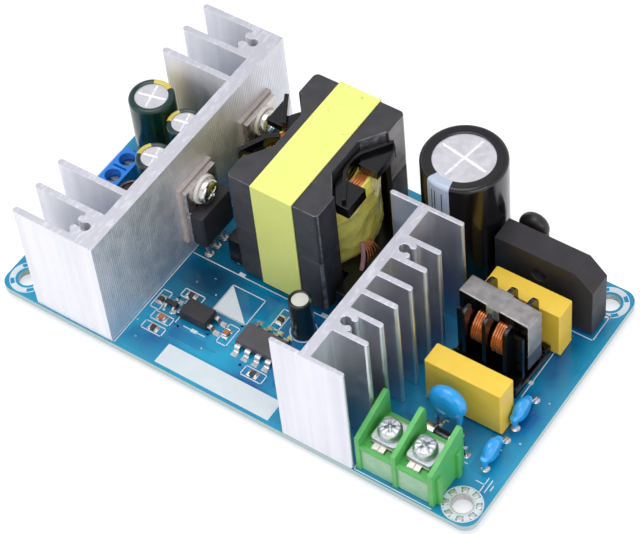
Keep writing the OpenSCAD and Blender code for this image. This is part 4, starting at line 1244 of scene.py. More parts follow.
    def solder(self) -> None:
        """Builds the solder joints under the board as hollow-sided fillets."""
        draft = Draft()
        shape = ((0, 0), (1, 0), (0.72, 0.3), (0.5, 0.6), (0.4, 0.86), (0.26, 0.98), (0, 1))
        for joint in solids_of("solder_joints"):
            r, rise = joint.size.x / 2, joint.size.z
            profile = [(r * out, -rise * down) for out, down in shape]
            profile.insert(2, (r * 0.98, -0.08))
            draft.turned(profile, seat(joint.middle.x, joint.middle.y, -self.thickness), 24)
        draft.piece("solder_fillets", TIN, ["solder_joints"])


# ---- heatsinks and power devices ---------------------------------------------------------


@dataclass
class Heatsinks:
    """The two extruded heatsinks and their soldered pins."""

    edge: float = 0.13

    def build(self) -> None:
        """Builds both heatsinks with lightly broken edges."""
        for node, finish in (
            ("output_heatsink", ALUMINIUM), ("primary_heatsink", PLAIN_ALUMINIUM),
        ):
            eased(node, node + "_extrusion", finish, self.edge)
        dress_node("heatsink_pins", TIN)


@dataclass
class PowerDevices:
    """The rectifiers and the switch with their pads, bushes and screws."""

    head_d: float = 5.6
    head_h: float = 1.7
    cross: float = 3.2
    shank_d: float = 2.9
    between: float = 60.0  # the heatsinks stand on both sides of this place

    def build(self) -> None:
        """Builds the devices and their hardware."""
        eased("insulating_pads", "pads_under_devices", MICA, 0.06, 1)
        eased("device_bodies", "device_mouldings", EPOXY, 0.18)
        eased("device_frames", "device_tabs_and_leads", TINNED_FRAME, 0.08)
        eased("insulating_bushes", "shoulder_bushes", NYLON, 0.2)
        self.screws()

    def screws(self) -> None:
        """Builds the pan head screws with their cross recesses."""
        draft, r = Draft(), self.shank_d / 2
        for screw in solids_of("device_screws"):
            left = screw.middle.x < self.between
            face = screw.high.x - self.head_h if left else screw.low.x + self.head_h
            turn = (90 if left else -90, "Y")
            spot = seat(face, screw.middle.y, screw.middle.z, turn, (20, "Z"))
            screw_head(draft, spot, self.head_d, self.head_h, self.cross)
            end = self.head_h - screw.size.x
            draft.turned([(0, end), (r - 0.15, end), (r, end + 0.2), (r, 0), (0, 0)], spot, 32)
        draft.piece("device_pan_screws", NICKEL, ["device_screws"])


def screw_head(
    draft: Draft, place: Matrix, across: float, rise: float, cross: float,
    slot: float = 0.0, rays: float = 0.0,
) -> None:
    """Adds a pan head with a cross recess.

    Args:
        draft: the mesh that gets the head.
        place: the matrix whose Z points out of the head, from the seat.
        across: the head's diameter.
        rise: its height.
        cross: span of the cross recess.
        slot: width of a slot right across the head, or 0 for none.
        rays: height of the ten pressed rays round the recess.
    """
    steps, rings, radius, reach = 96, 26, across / 2, cross / 2

    def top(x: float, y: float) -> Spot:
        """Gives the head's surface over a place, with the recess cut.

        Args:
            x, y: the place.

        Returns:
            The place on the surface.
        """
        r = math.hypot(x, y) / radius
        height = rise * (1 - 0.1 * r**2 - 0.3 * (max(0.0, r - 0.76) / 0.24) ** 2)
        depth = 0.0
        for u, v in ((abs(x), abs(y)), (abs(y), abs(x))):
            half = 0.3 + 0.08 * (1 - u / reach)
            if u < reach and v < half:
                ramp = min(1.0, (reach - u) / 0.5) * min(1.0, (half - v) / 0.16)
                depth = max(depth, ramp * rise * 0.5)
        if abs(y) < slot / 2:
            depth = max(depth, min(1.0, (slot / 2 - abs(y)) / 0.14) * rise * 0.22)
        if 0.3 < r < 0.92:
            swell = math.sin((r - 0.3) / 0.62 * math.pi)
            height += rays * math.cos(10 * math.atan2(y, x)) * swell
        return x, y, max(height - depth, rise * 0.15)

    rows = [
        draft.row(place, (top(x, y) for x, y, _ in circle(radius * (k / rings), 0.0, steps)))
        for k in range(rings + 1)
    ]
    for r, z in ((radius, 0.12), (radius - 0.1, 0.0), (0, 0.0)):
        rows.append(draft.row(place, circle(r, z, steps)))
    draft.weave(rows, along=True)


# ---- transformer -------------------------------------------------------------------------


@dataclass
class Transformer:
    """The transformer: core halves, bobbin, winding under tape, core tape and pins."""

    x: float = 54.2
    y: float = 44.2
    wire_d: float = 0.45
    sleeve_d: float = 1.0
    tab_top: float = 30.0
    rib: float = 0.9  # width of the bobbin's rib
    coil_hole_d: float = 16.4
    tape_ends: int = 3
    tape_step: float = 0.06
    crease: float = 0.4  # depth of the film's small creases, and below that of its folds
    fold: float = 0.36
    shoulder: float = 0.55
    grit: float = 0.04
    end_wires: int = 4  # in each opening of the flange
    pin_wires: int = 5
    painted_reflection_from: Point = (9.0, 18.0)  # how far back and how high the painted reflection on the leg starts

    def build(self) -> None:
        """Builds the transformer."""
        for node in ("core_lower", "core_upper"):
            self.core(node)
        self.bobbin()
        self.winding()
        self.copper_ends()
        self.core_wrap()
        dress_node("transformer_pins", TIN)

    def core(self, node: str) -> None:
        """Builds a core half with ground edges that are chipped in places, painted highlights
        along some rounded edges and a painted reflection on one leg's outer face.

        Args:
            node: the CAD node.
        """

        def chip(point: Vector) -> Vector:
            """Roughens the ground faces and edges a little."""
            grit = noise.noise(point * 900) + 0.6 * noise.noise(point * 2300)
            return point + Vector((grit, -grit, grit)) * self.grit * MM

        def highlighted(place: Vector, normal: Vector) -> int:
            """Finds the rounded edges that get a painted highlight, and the leg face that gets
            a painted reflection.

            Args:
                place: a face's centre.
                normal: its normal.

            Returns:
                1 for a painted edge highlight, 2 for the leg's painted reflection, 0 for the
                rest.
            """
            # Painted reflection: the far leg's outer face, high up and far back.
            back, high = self.painted_reflection_from
            if normal.x > 0.9 and place.y > self.y + back and place.z > high:
                return 2
            # Painted highlight: patches along the rounded edges, more of them on the top.
            flat = max(abs(c) for c in normal) > 0.9
            bare = noise.noise(place * 0.5) > (-0.12 if place.z > 30 else 0.1)
            return int(not flat and bare and place.z > 5)

        copied(node).bevel(0.22, 3).bend(chip).piece(
            node + "_ferrite", FERRITE, [node], highlighted, [FERRITE_EDGE_HIGHLIGHT, FERRITE_PAINTED_REFLECTION]
        )

    def bobbin(self) -> None:
        """Builds the bobbin, whose rib bends over both tabs on the bulk capacitor's side."""
        side, flat = at(self.x + 5.0, 0).x, at(0, 0, self.tab_top).z

        def level(point: Vector) -> Vector:
            """Keeps those two tabs flat on top, where the bent rib stands."""
            rise = min(point.z, flat) if point.x > side else point.z
            return Vector((point.x, point.y, rise))

        copied("transformer_bobbin").bevel(0.14).bend(level).piece(
            "moulded_bobbin", PHENOLIC, ["transformer_bobbin"]
        )
        tab, rib = (
            [(self.x + x, self.y + y) for x, y in path] for path in (
                ((8.9, 1.6), (13.4, 1.6), (13.3, 8.0), (12.5, 9.0), (8.4, 3.6)),
                ((12.1, -8.4), (8.2, -2.1), (7.6, -0.2), (7.6, 1.6), (8.1, 3.6), (12.1, 9.3)),
            )
        )
        draft = Draft().prism(tab, self.tab_top - 2.2, self.tab_top + 0.05)
        draft.prism(ribbon(rib, self.rib), self.tab_top - 0.9, self.tab_top + 1.2)
        draft.bevel(0.1).piece("bobbin_rib", PHENOLIC)

    def winding(self) -> None:
        """Builds the taped winding: overlapping turns of film that crease round the coil."""
        coil, draft, steps, levels = solids_of("transformer_coil")[0], Draft(), 220, 44
        low, high, place = coil.low.z, coil.high.z, seat(self.x, self.y)
        rows = []
        for k in range(levels + 1):
            share, points = k / levels, []
            away = abs(share - 0.5)
            shoulder = self.shoulder * max(0.0, away * 2 - 0.86) / 0.14
            for n, (x, y, z) in enumerate(circle(1.0, low + (high - low) * share, steps)):
                turn = 2 * math.pi * n / steps
                spot = Vector((x * 2.2, y * 2.2, share * 2.0))
                crease = abs(noise.noise(spot * 1.9 + Vector((0, 0, share * 2))))
                swing = 7.5 * share - 3 * turn / math.pi + 1.1 * noise.noise(spot * 1.1)
                fold = abs(math.sin(swing * math.pi / 2)) ** 0.6 * (0.6 + 0.8 * away)
                lap = (turn / (2 * math.pi) * self.tape_ends + 0.35 * share) % 1.0
                r = coil.size.x / 2 - 0.03 - self.crease * crease - self.fold * fold
                r -= shoulder + (self.tape_step if lap < 0.5 else 0.0)
                points.append((r * x, r * y, z))
            rows.append(draft.row(place, points))
        for z in (high, low):
            rows.append(draft.row(place, circle(self.coil_hole_d / 2, z, steps)))
        draft.weave(rows, around=True, along=True)
        draft.piece("taped_winding", COIL_TAPE, ["transformer_coil"], angle=60)

    def copper_ends(self) -> None:
        """Lays the wires that show in the flange's openings and run down to the pins."""
        coil, draft = solids_of("transformer_coil")[0], Draft()
        for side in (0, 180):
            for k in range(self.end_wires):
                r, path = 9.0 + 0.6 * k, []
                for n in range(13):
                    turn = math.radians(side - 17 + 28 * n / 12)
                    lift = 0.24 + 0.25 * math.sin(math.pi * n / 12) - 0.05 * k
                    x, y = self.x + r * math.cos(turn), self.y + r * math.sin(turn)
                    path.append(at(x, y, coil.high.z + lift))
                draft.wire(path, self.wire_d)
        for k in range(self.pin_wires):
            foot = at(self.x + 13.5, self.y - 4.6 + 1.1 * k, 7.6)
            head = at(self.x + 12.2, self.y - 2.9 + 0.42 * k, coil.low.z + 3.2)
            draft.wire(bowed(head, foot, 0.5), self.wire_d * 0.8)
        draft.piece("winding_ends", COPPER)
        foot = at(self.x + 13.6, self.y - 7.0, 7.4)
        head = at(self.x + 12.3, self.y - 3.9, coil.low.z + 5.0)
        sleeve = Draft().wire(bowed(head, foot, 0.4, 10), self.sleeve_d, 14)
        sleeve.piece("winding_end_sleeve", PINK_SLEEVE)

    def core_wrap(self) -> None:
        """Builds the tape round the core, with its lapped end."""
        low, high = solids_of("transformer_tape")[0].low, solids_of("transformer_tape")[0].high
        x0, x1, y0, y1 = low.x + 0.02, high.x - 0.02, low.y + 9.0, low.y + 26.5
        draft = copied("transformer_tape").bevel(0.1, 3)
        lap = [(x0, y0), (x1, y0), (x1, y1), (x0, y1 + 0.3)]
        draft.prism(lap, high.z - 0.2, high.z - 0.03)
        draft.piece("core_wrap", CORE_TAPE, ["transformer_tape"])


# ---- capacitors --------------------------------------------------------------------------


@dataclass(frozen=True)
class CanKind:
    """One kind of electrolytic capacitor: its nodes, its film and its pressed cross."""

    name: str
    sleeves: str
    cans: str
    film: PrintedSleeve
    toward: tuple[float, ...]  # where each capacitor's stripe points, from left to right
    metal: Finish
    vent: float  # angle of the pressed cross
    groove: float  # its depth
    below: float = 0.0022  # the bars inside the stripe start this far, in metres, below the top


BLACK_FILM = PrintedSleeve(
    "black_film_", "bulk_sleeve", "#120f11", 0.16, "#1b1718", 0.6, 6.0, gloss_drift=0.03,
    stripe="#bcc9dc", half_width=17.4, bars=(-9.0, -4.2, 6.7),
)
GREEN_FILM = PrintedSleeve(
    "green_film_", "green_sleeve", "#0e3a33", 0.17, "#0b2d28", 0.7, 4.0, gloss_drift=0.03,
    stripe="#d9c659", half_width=30.0,
)
DARK_GREEN_FILM = PrintedSleeve(
    "green_film_", "green_sleeve", "#13201b", 0.17, "#0e1814", 0.7, 4.0, gloss_drift=0.03,
    stripe="#55645e", half_width=12.0,
)


@dataclass
class Electrolytics:
    """The electrolytic capacitors: rolled film sleeves over drawn cans."""

    face_share: float = 0.72
    wall: float = 0.3
    sunk: float = 0.36
    lap: float = 0.3  # how far the can's face runs on under the rolled edge
    kinds: tuple[CanKind, ...] = (
        CanKind("bulk_capacitor", "bulk_capacitor_sleeve", "bulk_capacitor_can",
                BLACK_FILM, (264.4,), CAN, -10.0, 0.15),
        CanKind("output_capacitor", "output_capacitor_sleeves", "output_capacitor_cans",
                GREEN_FILM, (88.0, 176.0, 168.0), CAN, 12.0, 0.14),
        CanKind("supply_capacitor", "supply_capacitor_sleeve", "supply_capacitor_can",
                DARK_GREEN_FILM, (20.0,), PALE_CAN, 12.0, 0.02),
    )

    def build(self) -> None:
        """Builds the sleeves and the cans, and the leads under them."""
        for kind in self.kinds:
            cans, found = Draft(), solids_of(kind.sleeves)
            for k, (solid, toward) in enumerate(zip(found, kind.toward), 1):
                own = kind.name if len(found) == 1 else f"{kind.name}_{k}"
                film = replace(
                    kind.film, name=kind.film.name + own, toward=toward,
                    axis=(solid.middle.x, solid.middle.y), bar_top=solid.top - kind.below,
                )
                spot = seat(solid.middle.x, solid.middle.y, solid.low.z)
                across, rise = solid.size.x, solid.size.z
                Draft().turned(self.section(across, rise), spot, 96, loop=True).piece(
                    own + "_film", film, [kind.sleeves] if k == len(found) else (), angle=50,
                )
                self.can(cans, spot, across, rise, kind)
            # The cross's sloping flanks take the painted highlight.
            cans.piece(
                kind.name + "_drawn_can", kind.metal, [kind.cans],
                lambda place, normal: int(0.2 < abs(normal.z) < 0.975), [CROSS_PAINTED_HIGHLIGHT], angle=30,
            )
        dress_node("capacitor_leads", TIN)

    def section(self, across: float, rise: float) -> list[Point]:
        """Gives the sleeve's section: foot, crimp, wall, rolled edge and inner lip.

        Args:
            across, rise: the sleeve's diameter and height.

        Returns:
            Radius and height of each point.
        """
        r, roll, crimp = across / 2, min(0.9, across / 12), across / 6
        lip, inside = across * self.face_share / 2, across / 2 - self.wall
        points = [(inside, 0.0), (r - 0.05, 0.0), (r, 0.08)]
        for k in range(9):
            dent = 0.15 * math.sin(math.pi * k / 8) ** 2
            points.append((r - dent, crimp - 0.5 + k / 8))
        points.append((r, rise - roll - 0.15))
        for k in range(1, 9):
            turn = math.pi / 2 * k / 8
            points.append(
                (r - roll + roll * math.cos(turn), rise - roll + roll * math.sin(turn))
            )
        width = r - roll - lip
        for out, down in (
            (lip + width * 0.75, 0.03), (lip + width * 0.4, 0.1), (lip + 0.12, 0.12),
            (lip + 0.02, 0.16), (lip, 0.3), (inside - roll * 0.5, self.wall + 0.1),
            (inside, roll + 0.2),
        ):
            points.append((out, rise - down))
        return points

    def can(
        self, draft: Draft, spot: Matrix, across: float, rise: float, kind: CanKind
    ) -> None:
        """Adds a can whose top carries the pressed cross.

        Args:
            draft: the mesh that gets the can.
            spot: the place of the capacitor's foot.
            across, rise: the sleeve's diameter and height.
            kind: the capacitor's kind.
        """
        face, top, half = across * self.face_share / 2, rise - self.sunk, 0.17 + 0.004 * across
        place = spot @ Matrix.Rotation(math.radians(kind.vent), 4, "Z")
        turns = sorted({
            math.radians((arm + side * off) % 360) for arm in range(0, 360, 90)
            for off in (0, 0.9, 1.8, 2.7, 4, 7, 12, 20, 32, 45) for side in (-1, 1)
        })
        rings, edge = 34, face + self.lap
        rows = [draft.row(place, [(0, 0, top - kind.groove)])]
        for k in range(1, rings + 1):
            r, points = edge * (k / rings) ** 0.8, []
            for turn in turns:
                x, y = r * math.cos(turn), r * math.sin(turn)
                near, reach = sorted((abs(x), abs(y)))
                dip = kind.groove * max(0.0, 1 - near / half)
                dip *= max(0.0, min(1.0, (face * 0.88 - reach) / 0.3))
                points.append((x, y, top - dip))
            rows.append(draft.row(place, points))
        foot = [(edge * math.cos(turn), edge * math.sin(turn), 1.0) for turn in turns]
        rows += [draft.row(place, foot), draft.row(place, [(0, 0, 1.0)])]
        draft.weave(rows, along=True)


@dataclass
class FilterInductor:
    """The drum inductor in brown shrink film."""

    waist: float = 0.28

    def build(self) -> None:
        """Builds the drum with its film drawn in at the waist and an open top."""
        drum = solids_of("filter_inductor")[0]
        r, rise = drum.size.x / 2, drum.size.z
        profile = [(0, 0.0), (r - 0.3, 0.0), (r, 0.3), (r, rise * 0.2)]
        for k in range(13):
            dent = self.waist * max(0.0, math.sin(math.pi * (k % 12) / 12)) ** 0.7
            profile.append((r - dent, rise * (0.22 + 0.56 * (k / 12))))
        profile += [
            (r, rise - 0.5), (r - 0.15, rise - 0.12), (r - 0.4, rise), (r - 0.62, rise - 0.1),
            (r - 0.7, rise - 0.35), (r - 0.75, rise - 0.5), (0.7, rise - 0.5),
            (0.62, rise - 0.9), (0, rise - 0.9),
        ]
        spot = seat(drum.middle.x, drum.middle.y, drum.low.z)
        Draft().turned(profile, spot).piece(
            "inductor_in_film", BROWN_FILM, ["filter_inductor"]
        )


@dataclass
class FilmCapacitors:
    """The two yellow box capacitors."""

    edge: float = 0.22

    def build(self) -> None:
        """Builds the boxes with moulded edges."""
        eased("film_capacitors", "box_capacitors", YELLOW_BOX, self.edge, 3, 40)


# ---- choke -------------------------------------------------------------------------------


def turned_about(x: float, y: float, angle: float) -> Move:
    """Gives a move that turns points about an upright axis.

    Args:
        x, y: the axis's place on the board.
        angle: how far it turns them, in degrees.

    Returns:
        The move.
    """
    pivot = Matrix.Translation(at(x, y))
    turn = pivot @ Matrix.Rotation(math.radians(angle), 4, "Z") @ pivot.inverted()
    return lambda point: turn @ point


@dataclass
class Choke:
    """The mains choke: lacquered core, bobbin, two coils and tape."""

    x: float = 100.6
    y: float = 37.7
    wire_d: float = 0.62
    turns: float = 6.0
    layers: int = 3
    twist: float = -4.0
    flange_front: float = 5.3
    lacquer_low: float = 12.2

    def build(self) -> None:
        """Builds the choke, which sits a little askew in its bobbin."""
        askew = turned_about(self.x + 8.4, self.y, self.twist)
        core = copied("choke_core")
        for side in (-1, 1):
            a, b = sorted((self.x + side * 5.5, self.x + side * 8.38))
            core.block(a, self.y - 2.42, b, self.y + 2.42, 4.6, 9.3)
        core.cut(at(0, 0, self.lacquer_low), (0.0, 0.35, 1.0)).bevel(0.4, 4).bend(askew).piece(
            "choke_ferrite_core", GREY_FERRITE, ["choke_core"], self.lacquered,
            [PHENOLIC, BARE_FERRITE],
        )
        self.bobbin(turned_about(self.x, self.y, self.twist / 2))
        self.coils(askew)
        self.tape(askew)

    def lacquered(self, place: Vector, normal: Vector) -> int:
        """Tells how far the lacquer covers the core.

        Args:
            place: a face's centre.
            normal: its normal.

        Returns:
            1 for the black front, 2 for bare ferrite low on the ends, 0 for lacquer.
        """
        if normal.y < -0.8:
            return 1
        return 2 if abs(normal.x) > 0.6 and place.z < self.lacquer_low else 0

    def bobbin(self, askew: Move) -> None:
        """Builds the bobbin: flanges flush with the coils in front, and walls at the legs.

        Args:
            askew: the move that turns it on the board.
        """
        foot, half = at(0, self.y, 3.4), self.flange_front * MM

        def slim(point: Vector) -> Vector:
            """Draws the flanges' front edges back to the coils.

            Args:
                point: a place on the bobbin.

            Returns:
                Where it moves to.
            """
            depth = foot.y - point.y
            if point.z < foot.z or depth < half:
                return point
            return Vector((point.x, foot.y - half - (depth - half) * 0.1, point.z))

        draft = copied("choke_bobbin").bevel(0.12).bend(slim)
        for side in (-1, 1):
            for y in (self.y - 3.35, self.y + 2.55):
                a, b = sorted((self.x + side * 4.9, self.x + side * 7.7))
                draft.block(a, y, b, y + 0.8, 1.9, 15.4)
        draft.bend(askew).piece("choke_moulding", PHENOLIC, ["choke_bobbin"])

    def coils(self, askew: Move) -> None:
        """Winds both coils in layers of enamelled wire.

        Args:
            askew: the move that turns them on the board.
        """
        draft = Draft()
        for coil in solids_of("choke_coils"):
            middle, length = coil.middle, coil.size.x - self.wire_d
            for layer in range(self.layers):
                r = (coil.size.z - self.wire_d) / 2 - layer * self.wire_d * 0.86
                turns = self.turns - 0.5 * (layer % 2)
                count, path = int(turns * 40), []
                for n in range(count + 1):
                    turn = 2 * math.pi * turns * n / count
                    far = r + 0.04 * math.sin(turn * 0.37 + layer)
                    path.append(at(
                        middle.x + length * (n / count - 0.5),
                        middle.y + far * math.sin(turn), middle.z + far * math.cos(turn),
                    ))
                draft.wire(path, self.wire_d)
        draft.bend(askew).piece("choke_windings", COPPER, ["choke_coils"])

    def tape(self, askew: Move) -> None:
        """Builds the tape over the core's joint: clear film on top, with one half bare foil.

        Args:
            askew: the move that turns it on the board.
        """
        top = at(0, 0, solids_of("choke_core")[0].high.z + 0.015).z

        def pressed(point: Vector) -> Vector:
            """Presses the tape's upper run flat into the lacquer."""
            return Vector((point.x, point.y, min(point.z, top)))

        def face(place: Vector, normal: Vector) -> int:
            """Picks clear film on top, foil at the right and olive film at the left."""
            return 2 if abs(normal.y) < 0.7 else int(place.x > self.x)

        draft = copied("choke_tape").cut(at(self.x, 0), (1, 0, 0))
        draft.bend(pressed).bend(askew).piece(
            "choke_joint_tape", FOIL_TAPE, ["choke_tape"], face, [BRIGHT_TAPE, GREY_FERRITE],
        )


# ---- dipped discs, rectifier and fuse ----------------------------------------------------


class Along(Enum):
    """The way that a disc and its two leads stand on the board, by the name of its axis."""

    LENGTH = "X"
    WIDTH = "Y"


@dataclass
class DippedDiscs:
    """The varistor, thermistor, snubber and safety capacitors, dipped in epoxy."""

    voxel: float = 0.16
    passes: int = 14

    def build(self) -> None:
        """Builds each disc with the coat that runs down its leads."""
        self.disc("varistor", BLUE_DIP, 2.5, Along.LENGTH, 2.8)
        self.disc("safety_capacitors", BLUE_DIP, 2.6, Along.WIDTH, 2.2)
        self.disc("thermistor", DARK_DIP, 2.5, Along.LENGTH, 2.0)
        self.disc("snubber_capacitor", DARK_DIP, 2.5, Along.WIDTH, 2.0)
        dress_node("disc_leads", TIN)

    def disc(self, node: str, finish: Finish, spread: float, along: Along, drip: float) -> None:
        """Builds the discs of one node.

        Args:
            node: the CAD node.
            finish: the coat.
            spread: distance of the leads from the middle.
            along: how the disc stands.
            drip: how far the coat runs down the leads.
        """
        draft = Draft()
        shape = ((0, 0.98), (0.45, 0.97), (0.72, 0.86), (0.88, 0.62), (0.97, 0.32), (1, 0))
        for solid in solids_of(node):
            r, half = solid.size.z / 2, min(solid.size.x, solid.size.y) / 2
            profile = [(r * out, half * up) for out, up in shape]
            profile += [(a, -b) for a, b in profile[-2::-1]]
            draft.turned(profile, seat(*solid.middle, (90.0, along.value)), 48)
            foot = solid.middle.z - math.sqrt(max(r * r - spread * spread, 0.2))
            for off in (-spread, spread):
                x, y = solid.middle.xy
                x, y = (x + off, y) if along is Along.LENGTH else (x, y + off)
                draft.turned(
                    [(0, 1.2), (0.95, 1.2), (0.85, 0.2), (0.68, -drip * 0.5), (0.5, -drip),
                     (0, -drip)], seat(x, y, foot), 20,
                )
        melted(draft, self.voxel, self.passes).piece(node + "_dipped", finish, [node], angle=80)


@dataclass
class BridgeRectifier:
    """The bridge rectifier's moulding."""

    edge: float = 0.2

    def build(self) -> None:
        """Builds the moulding with its marked corner and its screw hole."""
        eased("bridge_rectifier", "rectifier_moulding", BRIDGE_EPOXY, self.edge, 3)


@dataclass
class Fuse:
    """The small fuse."""

    full: float = 1.16  # the fuse's diameter against the CAD solid's
    lap: float = 0.7

    def build(self) -> None:
        """Builds the tube and its drawn caps."""
        body = solids_of("fuse_body")[0]
        r, half = body.size.z / 2 * self.full, body.size.x / 2
        Draft().turned(
            [(0, -half), (r - 0.1, -half), (r, -half + 0.15), (r - 0.06, 0), (r, half - 0.15),
             (r - 0.1, half), (0, half)], seat(*body.middle, (90, "Y")), 48,
        ).piece("fuse_sleeve_tube", FUSE_TUBE, ["fuse_body"])
        draft = Draft()
        for cap in solids_of("fuse_caps"):
            out = 1 if cap.middle.x > body.middle.x else -1
            r, half = cap.size.z / 2 * self.full, cap.size.x / 2
            inner = -half - self.lap
            draft.turned(
                [(0, inner), (r - 0.15, inner), (r, inner + 0.15), (r, half - 0.5),
                 (r - 0.18, half - 0.15), (r - 0.5, half), (0, half)],
                seat(*cap.middle, (90 * out, "Y")), 48,
            )
        draft.piece("fuse_drawn_caps", FUSE_CAP, ["fuse_caps"])


# ---- terminals ---------------------------------------------------------------------------


@dataclass
class InputTerminal:
    """The green barrier terminal for the mains wires."""

    left: float = 90.4
    front: float = 0.8
    pitch: float = 8.1
    depth: float = 11.4
    wall: float = 1.1
    deck: float = 7.6
    back_deck: float = 6.5
    height: float = 14.0
    head_d: float = 5.0
    head_h: float = 2.0
    cross: float = 2.7
    slot: float = 0.55
    rays: float = 0.04
    shank_d: float = 3.0
    shank: float = 5.5
    plate: float = 5.4
    tongue: float = 2.8
    cross_turns: Point = (35.0, 62.0)  # how each screw was left turned

    def build(self) -> None:
        """Builds the housing, plates, washers and screws."""
        self.housing()
        self.plates()
        eased("input_washers", "square_washers", ZINC, 0.14)
        draft, r, end = Draft(), self.shank_d / 2, -self.shank
        for screw, turn in zip(solids_of("input_screws"), self.cross_turns):
            seat_z = screw.high.z - self.head_h
            spot = seat(screw.middle.x, screw.middle.y, seat_z, (turn, "Z"))
            screw_head(draft, spot, self.head_d, self.head_h, self.cross, self.slot, self.rays)
            draft.turned([(0, end), (r - 0.3, end), (r, end + 0.3), (r, 0), (0, 0)], spot, 32)
        draft.piece("terminal_screws", ZINC, ["input_screws"])

    def housing(self) -> None:
        """Builds thin barriers, decks, front panels and keys."""
        draft, d, h = Draft(), self.depth, self.height
        side = [(0, 0), (d, 0), (d, h - 1.1), (d - 0.35, h), (d - 1.1, h), (0, h - 3.5)]
        full = 2 * self.pitch + 1.6
        right = self.left + full
        for start in (0.0, full / 2 - self.wall / 2, full - self.wall):
            spot = seat(self.left + start, self.front, 0.0, (90, "Z"), (90, "X"))
            draft.slab(side, spot, 0.0, self.wall)
        for x0, y0, x1, y1, z0, z1 in (
            (self.left + 0.2, 0.5, right - 0.2, 9.6, 0.0, self.deck),
            (self.left + 0.2, 9.6, right - 0.2, d - 0.2, 0.0, self.back_deck),
            (self.left + 0.2, 0.1, right - 0.2, 1.0, self.deck - 0.5, self.deck + 0.5),
            (right - 0.1, 1.2, right + 0.75, 2.5, 0.0, 8.2),
            (right - 0.1, 8.2, right + 0.75, 9.5, 0.0, 8.2),
        ):
            draft.block(x0, self.front + y0, x1, self.front + y1, z0, z1)

        def thin(place: Vector, normal: Vector) -> int:
            """Finds the thin front panels under the decks, which are painted paler for the
            light through them.
            """
            inside = self.front + 0.4 < place.y < self.front + 0.6
            return int(normal.y < -0.9 and inside and 0.3 < place.z < self.deck)

        draft.bevel(0.12).piece(
            "barrier_housing", GREEN_NYLON, ["input_housing"], thin, [THIN_GREEN_PAINTED_GLOW]
        )

    def plates(self) -> None:
        """Builds the clamp plates, each with a split tongue that bends down in front."""
        draft, half = Draft(), self.plate / 2
        bent = [(3.3, 8.4), (3.3, 7.9), (2.1, 7.75), (2.0, 7.62), (1.75, 7.62), (1.75, 7.95),
                (2.0, 8.25)]
        for solid in solids_of("input_plates"):
            x = solid.middle.x
            draft.block(x - half, 3.2, x + half, 10.0, self.deck, self.deck + 0.8)
            for side in (-1, 1):
                a, b = sorted(x - 0.3 + side * end for end in (0.015, self.tongue / 2))
                draft.slab(bent, seat(a, 0.0, 0.0, (90, "Z"), (90, "X")), 0.0, b - a)
            draft.block(x - 0.7, 8.1, x + 0.7, 9.3, solid.low.z, self.deck)
        draft.bevel(0.08).piece("clamp_plates", PLATED_STEEL, ["input_plates"])


@dataclass
class OutputTerminal:
    """The blue screw terminal for the output wires."""

    def build(self) -> None:
        """Builds the housing, the wire cages and the screws."""
        eased("output_housing", "output_block", BLUE_NYLON, 0.14)
        eased("output_cages", "wire_cages", PLATED_STEEL, 0.08)
        eased("output_screws", "cage_screws", PLATED_STEEL, 0.06)


# ---- surface parts -----------------------------------------------------------------------


@dataclass(frozen=True)
class Lead:
    """A gull-wing lead, seen from the middle of its part."""

    offset: float  # along the part's side
    turn: float  # degrees about Z, toward the lead's tip
    half: float  # from the middle to the part's side
    top: float  # height at which the lead leaves the part
    tip: float  # from the middle to the lead's end
    width: float

    def outline(self, thick: float) -> list[Vector]:
        """Gives the lead's side view, with round bends.

        Args:
            thick: the lead's thickness.

        Returns:
            Its closed outline as distance and height.
        """
        run, low = self.tip - self.half, thick / 2 + 0.04
        path = [(self.half - 0.3, self.top)]
        for share, z in (
            (0.2, self.top), (0.3, self.top - 0.04), (0.37, self.top - 0.18), (0.45, 0.32),
            (0.5, 0.16), (0.6, low), (1.0, low),
        ):
            path.append((self.half + run * share, z))
        return ribbon(path, thick)


